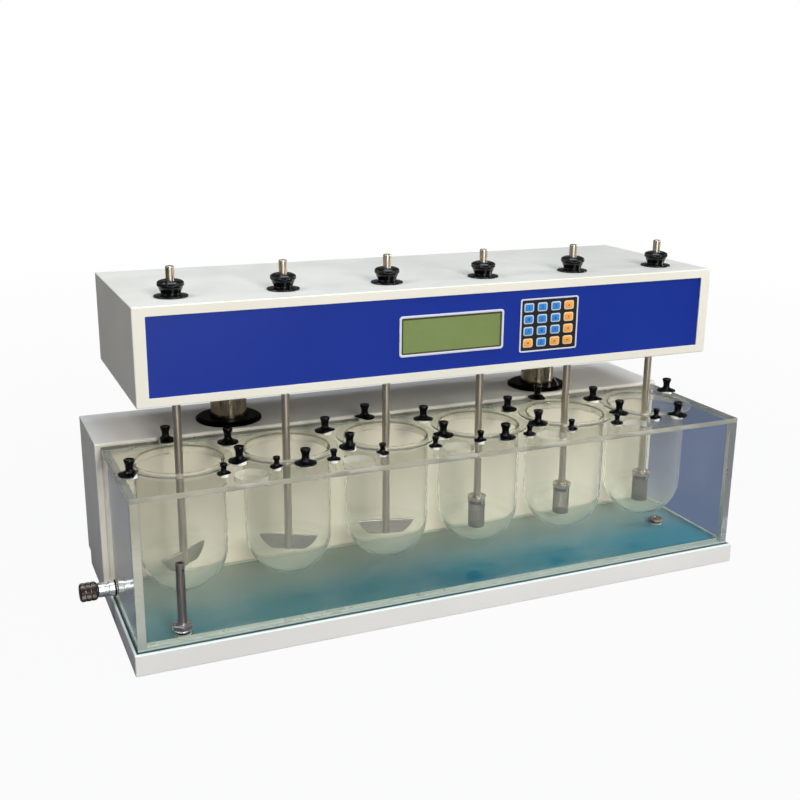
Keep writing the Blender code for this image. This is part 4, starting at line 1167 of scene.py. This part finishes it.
# display: pale rounded frame, sloped surround painted dark as the recess's shade, and the olive face set back in it
face = pf - GAP
o = rounded_outline(-70 * MM, 71.3 * MM, 321 * MM, 371.2 * MM, 4.2 * MM, 8)
i1 = rounded_outline(-67.2 * MM, 68.5 * MM, 323.9 * MM, 368.4 * MM, 1.8 * MM, 8)
i2 = rounded_outline(-64.9 * MM, 66.3 * MM, 325.9 * MM, 366.0 * MM, 0.6 * MM, 8)
bm = bmesh.new()
frame_bm(bm, o, i1, face, face - 1.6 * MM, 0, 0.35 * MM)
replace(to_object("display_frame", bm, [M_FRAME], "head", 40), "display")
bm = bmesh.new()
rings = []
for pts, y in ((i1, face - 0.05 * MM), (i1, face - 1.15 * MM), (i2, face - 0.75 * MM), (i2, face - 0.05 * MM)):
    rings.append([bm.verts.new((p[0], y, p[1])) for p in pts])
for k in range(len(rings)):
    a, b = rings[k], rings[(k + 1) % len(rings)]
    for q in range(len(a)):
        bm.faces.new((a[q], a[(q + 1) % len(a)], b[(q + 1) % len(a)], b[q]))
to_object("display_surround", bm, [M_LCD_RECESS_SHADE], "head", 30)
bm = bmesh.new()
pad_bm(bm, i2, face - 0.05 * MM, face - 0.62 * MM, 0)
to_object("display_face", bm, [M_LCD], "head", 30)

# keypad: black ground in a pale frame, sixteen raised keys
KX = [107.1 * MM, 126.4 * MM, 146.0 * MM, 165.1 * MM]
KZ = [(369.9 - 15.1 * k) * MM for k in range(4)]
ko = rounded_outline(94.9 * MM, 179 * MM, 312.8 * MM, 381.3 * MM, 3.2 * MM, 8)
ki = rounded_outline(96.9 * MM, 177.0 * MM, 314.7 * MM, 379.4 * MM, 1.6 * MM, 8)
bm = bmesh.new()
pad_bm(bm, ki, face - 0.02 * MM, face - 0.45 * MM, 0)
frame_bm(bm, ko, ki, face, face - 0.85 * MM, 1, 0.2 * MM)
digits = ["1", "2", "3", "", "4", "5", "6", "", "7", "8", "9", "", "", "0", "", ""]
is_blue = [True, True, True, False] * 3 + [False, True, False, False]
marks = {3: "up", 7: "down", 11: "left", 12: "dot", 14: "right", 15: "bar"}
for k in range(16):
    cx, cz = KX[k % 4], KZ[k // 4]
    w, h = 7.0 * MM, 5.7 * MM
    oo = rounded_outline(cx - w, cx + w, cz - h, cz + h, 2.6 * MM, 5)
    ii = rounded_outline(cx - w + 1.5 * MM, cx + w - 1.5 * MM, cz - h + 1.5 * MM, cz + h - 1.5 * MM,
                         1.5 * MM, 5)
    pad_bm(bm, oo, face - 0.40 * MM, face - 0.85 * MM, 2 if is_blue[k] else 4, 0.25 * MM)
    pad_bm(bm, ii, face - 0.80 * MM, face - 1.05 * MM, 3 if is_blue[k] else 5, 0.15 * MM)
me = bpy.data.meshes.new("keypad")
bmesh.ops.recalc_face_normals(bm, faces=bm.faces)
bm.to_mesh(me)
bm.free()
replace(finish_mesh("keypad_membrane", me, [M_KEY_BLACK, M_FRAME, M_KEY_RIM, M_KEY_BLUE,
                                            M_KEY_ORANGE_RIM, M_KEY_ORANGE], "head", 30),
        "keypad")


def glyph_mesh(text, size):
    cu = bpy.data.curves.new("glyph", "FONT")
    cu.body = text
    cu.size = size
    cu.align_x = "CENTER"
    cu.align_y = "CENTER"
    cu.extrude = 0.04 * MM
    cu.resolution_u = 3
    ob = bpy.data.objects.new("glyph", cu)
    scene.collection.objects.link(ob)
    bpy.context.view_layer.update()
    dg = bpy.context.evaluated_depsgraph_get()
    me = bpy.data.meshes.new_from_object(ob.evaluated_get(dg))
    bpy.data.objects.remove(ob, do_unlink=True)
    return me


def mark_outline(kind, s):
    tri = [(-s, -0.7 * s), (s, -0.7 * s), (0, 0.9 * s)]
    if kind == "up":
        return tri
    if kind == "down":
        return [(-x, -z) for x, z in tri]
    if kind == "left":
        return [(-z, x) for x, z in tri]
    if kind == "right":
        return [(z, -x) for x, z in tri]
    if kind == "bar":
        return [(-1.2 * s, -0.35 * s), (1.2 * s, -0.35 * s), (1.2 * s, 0.35 * s), (-1.2 * s, 0.35 * s)]
    return [(0.8 * s * cos(2 * pi * q / 20), 0.8 * s * sin(2 * pi * q / 20)) for q in range(20)]


bm = bmesh.new()
y_print = face - 1.05 * MM
for k, d in enumerate(digits):
    if not d:
        continue
    gm = glyph_mesh(d, 6.6 * MM)
    gm.transform(Matrix.Translation((KX[k % 4], y_print - 0.03 * MM, KZ[k // 4])) @ Matrix.Rotation(pi / 2, 4, "X"))
    bm.from_mesh(gm)
    bpy.data.meshes.remove(gm)
for f in bm.faces:
    f.material_index = 0
bmesh.ops.remove_doubles(bm, verts=bm.verts, dist=0.000002)
for k, kind in marks.items():
    pts = [(KX[k % 4] + px, KZ[k // 4] + pz) for px, pz in mark_outline(kind, 1.7 * MM)]
    pad_bm(bm, pts, y_print + 0.01 * MM, y_print - 0.07 * MM, 1)
to_object("keypad_print", bm, [M_GLYPH_BLUE, M_GLYPH_BROWN], "head", 30)

# ---------------------------------------------------------------------- chucks
Z1 = HEAD_Z1


def chuck_bm():
    """Black chuck about its own axis, z = 0 on the head's roof, with its sleeve below."""
    upper = fillet([(5.25 * MM, 17.4 * MM), (6.4 * MM, 19.0 * MM), (10.6 * MM, 19.2 * MM),
                    (13.6 * MM, 18.0 * MM), (15.2 * MM, 16.6 * MM)],
                   [0, 0.4 * MM, 1.2 * MM, 1.0 * MM, 0], 4)
    rim = [(15.2 * MM, (16.5 - 3.4 * k / 8) * MM) for k in range(9)]
    lower = fillet([(15.1 * MM, 13.0 * MM), (14.0 * MM, 11.4 * MM), (11.2 * MM, 4.8 * MM),
                    (11.0 * MM, 3.6 * MM), (17.0 * MM, 2.5 * MM), (19.3 * MM, 1.9 * MM),
                    (19.6 * MM, 1.4 * MM), (19.6 * MM, GAP), (8.5 * MM, GAP)],
                   [0, 1.0 * MM, 1.2 * MM, 0.7 * MM, 1.5 * MM, 0.4 * MM, 0.3 * MM, 0.1 * MM, 0], 4)
    sleeve = [(8.5 * MM, -62 * MM), (20 * MM, -62 * MM), (20 * MM, -74 * MM), (8.5 * MM, -74 * MM),
              (8.5 * MM, HEAD_Z0 - Z1 - 1.1 * MM), (8.1 * MM, HEAD_Z0 - Z1 - 1.5 * MM),
              (5.25 * MM, HEAD_Z0 - Z1 - 1.5 * MM)]

    def warp(r, z, a):
        if 12.95 * MM < z < 16.55 * MM and r > 15.0 * MM:
            edge = min(1.0, (z - 12.9 * MM) / (0.5 * MM), (16.6 * MM - z) / (0.5 * MM))
            return r - 0.32 * MM * (abs(((a * 48 / (2 * pi)) % 1.0) - 0.5) * 2) * max(0.0, edge)
        return r
    return lathe_bm(upper + rim + lower + sleeve, 192, closed=True, warp=warp)


for i, x in enumerate(STATION_X):
    bm = chuck_bm()
    bmesh.ops.translate(bm, vec=(x, ROD_Y, Z1), verts=bm.verts)
    replace(to_object("chuck_%d" % (i + 1), bm, [M_CHUCK], "spindle_%d" % (i + 1), 32),
            "chuck_spindle_%d" % (i + 1))

# ---------------------------------------------------------------------- shafts
ROD_R, ROD_TOP = 4.88 * MM, 439 * MM


def rod_bm(z0, bm=None, slot=0):
    prof = fillet([(0, ROD_TOP), (ROD_R, ROD_TOP), (ROD_R, z0), (0, z0)],
                  [0, 2.0 * MM, 0.5 * MM, 0], 5)
    return lathe_bm(prof, 56, bm=bm, slots=[slot] * 60)


def paddle_outline(top_w, bottom_w, height):
    r = 41.5 * MM
    ht, hb = top_w / 2, bottom_w / 2
    a, b = -sqrt(r * r - ht * ht), -sqrt(r * r - hb * hb)
    s = height / (a - b)
    right = []
    for k in range(13):
        z = a + (b - a) * k / 12
        right.append((sqrt(r * r - z * z), height + (z - a) * s))
    return right + [(-x, z) for x, z in reversed(right)]


for i in range(3):
    x = STATION_X[i]
    z0 = 76.5 * MM
    out = paddle_outline(74 * MM, 42 * MM, 19 * MM)
    bm = bmesh.new()
    pad_bm(bm, out, 2 * MM, -2 * MM, 0)
    ob = temp_object(bm)
    md = ob.modifiers.new("round", "BEVEL")
    md.width = 0.8 * MM
    md.segments = 3
    md.limit_method = "ANGLE"
    md.angle_limit = radians(60)
    bpy.context.view_layer.update()
    me = bpy.data.meshes.new_from_object(ob.evaluated_get(bpy.context.evaluated_depsgraph_get()))
    bpy.data.objects.remove(ob, do_unlink=True)
    me.transform(Matrix.Translation((x, ROD_Y, z0)) @ Matrix.Rotation(radians(PADDLE_YAW[i]), 4, "Z"))
    name = "paddle_shaft_%d" % (i + 1)
    replace(finish_mesh("paddle_blade_%d" % (i + 1), me, [M_BLADE], "shaft_%d" % (i + 1),
                        30, weighted=True), name)
    bm = rod_bm(z0 + 0.4 * MM)
    bmesh.ops.translate(bm, vec=(x, ROD_Y, 0), verts=bm.verts)
    to_object("paddle_rod_%d" % (i + 1), bm, [M_ROD], "shaft_%d" % (i + 1), 35)


def basket_bm():
    """Wire basket about its own axis, world heights: woven wall and bottom between two bands."""
    bm = bmesh.new()
    zb, zt_, r = 67 * MM, 104 * MM, 10.75 * MM
    wire = 0.19 * MM
    n = 66
    for k in range(n):
        a = 2 * pi * k / n
        w = r + (0.10 * MM if k % 2 else -0.10 * MM)
        tube_bm(bm, [(w * cos(a), w * sin(a), zb + 1.2 * MM), (w * cos(a), w * sin(a), zt_ - 4.0 * MM)],
                wire, 4, 0, False)
    m = 31
    for q in range(m):
        z = zb + 1.8 * MM + (zt_ - 4.6 * MM - zb - 1.8 * MM) * q / (m - 1)
        prof = [(r + wire, z), (r, z - wire), (r - wire, z), (r, z + wire)]
        lathe_bm(prof, 66, closed=True, bm=bm)
    for q in range(-10, 11):
        y = q * 1.03 * MM
        half = sqrt(max(0.0, r * r - y * y)) - 0.1 * MM
        if half > 0.5 * MM:
            tube_bm(bm, [(-half, y, zb + 0.35 * MM), (half, y, zb + 0.35 * MM)], wire, 4, 0, False)
            tube_bm(bm, [(y, -half, zb + 0.50 * MM), (y, half, zb + 0.50 * MM)], wire, 4, 0, False)
    for z0, z1 in ((zb, zb + 1.6 * MM), (zt_ - 4.4 * MM, zt_)):
        prof = fillet([(11.1 * MM, z1), (11.1 * MM, z0), (10.3 * MM, z0), (10.3 * MM, z1)],
                      [0, 0.2 * MM, 0.2 * MM, 0], 2)
        lathe_bm(prof, 66, closed=True, bm=bm)
    tube_bm(bm, [(r + 0.12 * MM, 0, zb + 0.9 * MM), (r + 0.12 * MM, 0, zt_ - 3.0 * MM)], 0.33 * MM, 6, 0)
    return bm


def cap_bm():
    """Basket cap: dished disc round the rod with three spring clips on its edge."""
    prof = fillet([(0, 105.2 * MM), (6.4 * MM, 105.2 * MM), (6.9 * MM, 107.4 * MM),
                   (9.6 * MM, 107.9 * MM), (11.4 * MM, 109.3 * MM), (12.4 * MM, 109.6 * MM),
                   (12.5 * MM, 108.6 * MM), (12.2 * MM, 104.6 * MM), (11.2 * MM, 104.05 * MM),
                   (0, 104.05 * MM)],
                  [0, 0.2 * MM, 0.4 * MM, 0.8 * MM, 0.5 * MM, 0.3 * MM, 0.3 * MM, 0.3 * MM, 0.3 * MM, 0], 3)
    bm = lathe_bm(prof, 72)
    hub = fillet([(0, 110.4 * MM), (5.4 * MM, 110.4 * MM), (6.3 * MM, 109.4 * MM), (6.3 * MM, 105.3 * MM),
                  (0, 105.3 * MM)], [0, 0.3 * MM, 0.3 * MM, 0, 0], 3)
    lathe_bm(hub, 48, bm=bm)
    for k in range(3):
        a = radians(40 + 120 * k)
        u, v = Vector((cos(a), sin(a), 0)), Vector((-sin(a), cos(a), 0))
        pts = [(12.55, 109.9), (12.15, 107.0), (11.55, 103.6), (11.75, 100.6), (11.25, 98.8)]
        rings = []
        for r_, z_ in pts:
            rings.append([bm.verts.new(u * (r_ + dr) * MM + v * dv * MM + Vector((0, 0, z_ * MM)))
                          for dr, dv in ((-0.18, -1.5), (0.18, -1.5), (0.18, 1.5), (-0.18, 1.5))])
        for a_, b_ in zip(rings, rings[1:]):
            for q in range(4):
                bm.faces.new((a_[q], a_[(q + 1) % 4], b_[(q + 1) % 4], b_[q]))
        bm.faces.new(rings[0][::-1])
        bm.faces.new(rings[-1])
    return bm


for i in range(3, 6):
    x = STATION_X[i]
    body = "shaft_%d" % (i + 1)
    bm = basket_bm()
    bmesh.ops.translate(bm, vec=(x, ROD_Y, 0), verts=bm.verts)
    replace(to_object("basket_mesh_%d" % (i + 1), bm, [M_BASKET], body, 40),
            "basket_shaft_%d" % (i + 1))
    bm = cap_bm()
    bmesh.ops.translate(bm, vec=(x, ROD_Y, 0), verts=bm.verts)
    to_object("basket_cap_%d" % (i + 1), bm, [M_BLADE], body, 35)
    bm = rod_bm(110.4 * MM)
    bmesh.ops.translate(bm, vec=(x, ROD_Y, 0), verts=bm.verts)
    to_object("basket_rod_%d" % (i + 1), bm, [M_ROD], body, 35)

# ------------------------------------------------------------ stage and camera
WORLD = (1.0, 1.0, 1.0)


def stage_floor():
    """Pale studio floor that fades into the backdrop's tone far from the object."""
    t = Tree("studio_floor")
    tc = t.nt.nodes.new("ShaderNodeTexCoord")
    ln = t.nt.nodes.new("ShaderNodeVectorMath")
    ln.operation = "LENGTH"
    t.link(tc.outputs["Object"], ln.inputs[0])
    lp = t.nt.nodes.new("ShaderNodeLightPath")
    near = t.nt.nodes.new("ShaderNodeMath")
    near.operation = "MULTIPLY"
    t.link(t.range(ln.outputs["Value"], 0.95, 1.0, 0.7, 3.0), near.inputs[0])
    t.link(lp.outputs["Is Camera Ray"], near.inputs[1])
    p = t.principled(Base_Color=(0.20, 0.21, 0.235, 1), Roughness=0.7)
    e = t.add("ShaderNodeEmission")
    e.inputs["Color"].default_value = (*WORLD, 1)
    m = t.nt.nodes.new("ShaderNodeMixShader")
    t.link(near.outputs[0], m.inputs[0])
    t.link(p.outputs[0], m.inputs[1])
    t.link(e.outputs[0], m.inputs[2])
    bench = t.add("ShaderNodeEmission")
    bench.inputs["Color"].default_value = (0.145, 0.180, 0.275, 1)
    m2 = t.nt.nodes.new("ShaderNodeMixShader")
    t.link(lp.outputs["Is Transmission Ray"], m2.inputs[0])
    t.link(m.outputs[0], m2.inputs[1])
    t.link(bench.outputs[0], m2.inputs[2])
    return t.surface(m2)


bm = bmesh.new()
bmesh.ops.create_circle(bm, cap_ends=True, segments=96, radius=30.0)
me = bpy.data.meshes.new("studio_floor")
bm.to_mesh(me)
bm.free()
me.materials.append(stage_floor())
floor = bpy.data.objects.new("studio_floor", me)
floor.location = (0, 0, -0.0004)
scene.collection.objects.link(floor)

world = bpy.data.worlds.new("studio")
scene.world = world
world.use_nodes = True
wn = world.node_tree
wn.nodes.clear()
wo = wn.nodes.new("ShaderNodeOutputWorld")
bg = wn.nodes.new("ShaderNodeBackground")
sky = wn.nodes.new("ShaderNodeTexCoord")
split = wn.nodes.new("ShaderNodeSeparateXYZ")
wn.links.new(sky.outputs["Generated"], split.inputs[0])


def sky_range(socket, f0, f1):
    n = wn.nodes.new("ShaderNodeMapRange")
    n.interpolation_type = "SMOOTHSTEP"
    n.inputs["From Min"].default_value = f0
    n.inputs["From Max"].default_value = f1
    wn.links.new(socket, n.inputs["Value"])
    return n.outputs["Result"]


def sky_mix(fac, a, b):
    n = wn.nodes.new("ShaderNodeMix")
    n.data_type = "RGBA"
    wn.links.new(fac, n.inputs["Factor"])
    for key, c in (("A", a), ("B", b)):
        if isinstance(c, tuple):
            n.inputs[key].default_value = (*c, 1)
        else:
            wn.links.new(c, n.inputs[key])
    return n.outputs["Result"]


def sky_times(a, b):
    n = wn.nodes.new("ShaderNodeMath")
    n.operation = "MULTIPLY"
    wn.links.new(a, n.inputs[0])
    wn.links.new(b, n.inputs[1])
    return n.outputs[0]


# the room as light: dim and even, a little more from above and behind
behind = sky_times(sky_range(split.outputs["Y"], 0.25, 0.70), sky_range(split.outputs["Z"], 0.16, 0.40))
room_light = sky_mix(sky_range(split.outputs["X"], -0.80, -0.20), (0.070, 0.068, 0.068), (0.130, 0.130, 0.136))
room_light = sky_mix(behind, room_light, (0.145, 0.130, 0.115))
# the room as seen through the clear parts: blue-grey to the right, neutral to the left
room_seen = sky_mix(sky_range(split.outputs["X"], -0.35, 0.45), (0.215, 0.207, 0.215), (0.125, 0.160, 0.275))
room_seen = sky_mix(sky_range(split.outputs["Z"], 0.10, 0.60), room_seen, (0.50, 0.52, 0.54))
wl = wn.nodes.new("ShaderNodeLightPath")
wn.links.new(sky_mix(wl.outputs["Is Transmission Ray"], room_light, room_seen), bg.inputs["Color"])
bg.inputs["Strength"].default_value = 1.0
seen = wn.nodes.new("ShaderNodeBackground")
seen.inputs["Color"].default_value = (*WORLD, 1)
seen.inputs["Strength"].default_value = 1.0
wm = wn.nodes.new("ShaderNodeMixShader")
wn.links.new(wl.outputs["Is Camera Ray"], wm.inputs[0])
wn.links.new(bg.outputs[0], wm.inputs[1])
wn.links.new(seen.outputs[0], wm.inputs[2])
wn.links.new(wm.outputs[0], wo.inputs["Surface"])


def area(name, loc, target, size, power, colour, size_y=None):
    la = bpy.data.lights.new(name, "AREA")
    la.energy = power
    la.color = colour
    la.shape = "RECTANGLE"
    la.size = size
    la.size_y = size_y or size
    ob = bpy.data.objects.new(name, la)
    ob.location = loc
    ob.rotation_mode = "QUATERNION"
    ob.rotation_quaternion = (Vector(target) - Vector(loc)).to_track_quat("-Z", "Y")
    scene.collection.objects.link(ob)
    return ob


area("key", (0.30, -3.05, 1.93), (0, 0, 0.2), 1.1, 80, (1.0, 0.962, 0.875))
area("front_fill", (-0.5, -3.2, 0.42), (0, 0, 0.2), 1.0, 21, (1.0, 0.975, 0.93))
area("top", (0.15, -0.25, 2.7), (0, 0, 0.3), 1.6, 40, (0.68, 0.81, 1.0))
area("left_fill", (-0.95, 0.05, 1.28), (-0.35, 0.03, 0.33), 0.5, 4.8, (1.0, 0.975, 0.95))
area("right_fill", (2.4, -0.35, 0.90), (0.25, 0.05, 0.2), 0.5, 25, (1.0, 0.97, 0.90))
# a narrow lamp that shines into the bath through its right wall, and past the casings
bath_lamp = bpy.data.lights.new("bath_fill", "SPOT")
bath_lamp.energy = 46
bath_lamp.color = (1.0, 0.975, 0.89)
bath_lamp.spot_size = radians(13.5)
bath_lamp.spot_blend = 0.3
bath_lamp.shadow_soft_size = 0.06
lamp = bpy.data.objects.new("bath_fill", bath_lamp)
lamp.location = (1.30, -0.20, 0.21)
lamp.rotation_mode = "QUATERNION"
lamp.rotation_quaternion = (Vector((0.407, -0.06, 0.12)) - Vector(lamp.location)).to_track_quat("-Z", "Y")
scene.collection.objects.link(lamp)

cam_data = bpy.data.cameras.new("camera")
cam = bpy.data.objects.new("camera", cam_data)
scene.collection.objects.link(cam)
scene.camera = cam
F_PX = 1090.5
cam_data.sensor_width = 36.0
cam_data.sensor_fit = "HORIZONTAL"
cam_data.lens = F_PX / 800 * 36.0
cam_data.shift_x = -0.8 / 800
cam_data.shift_y = 1.8 / 800
cam_data.clip_start, cam_data.clip_end = 0.02, 100
fwd = Vector((0.38671, 0.88024, -0.27500)).normalized()
right = Vector((0.91665, -0.39957, 0.01004)).normalized()
up = right.cross(fwd).normalized()
right = fwd.cross(up).normalized()
cam.matrix_world = Matrix(((right.x, up.x, -fwd.x, -0.5797), (right.y, up.y, -fwd.y, -1.2688),
                           (right.z, up.z, -fwd.z, 0.6304), (0, 0, 0, 1)))

scene.view_settings.view_transform = "Standard"
scene.view_settings.look = "None"
cy = scene.cycles
cy.max_bounces = 24
cy.transmission_bounces = 20
cy.transparent_max_bounces = 40
cy.diffuse_bounces = 3
cy.glossy_bounces = 6
cy.caustics_reflective = False
cy.caustics_refractive = False
cy.sample_clamp_indirect = 6.0
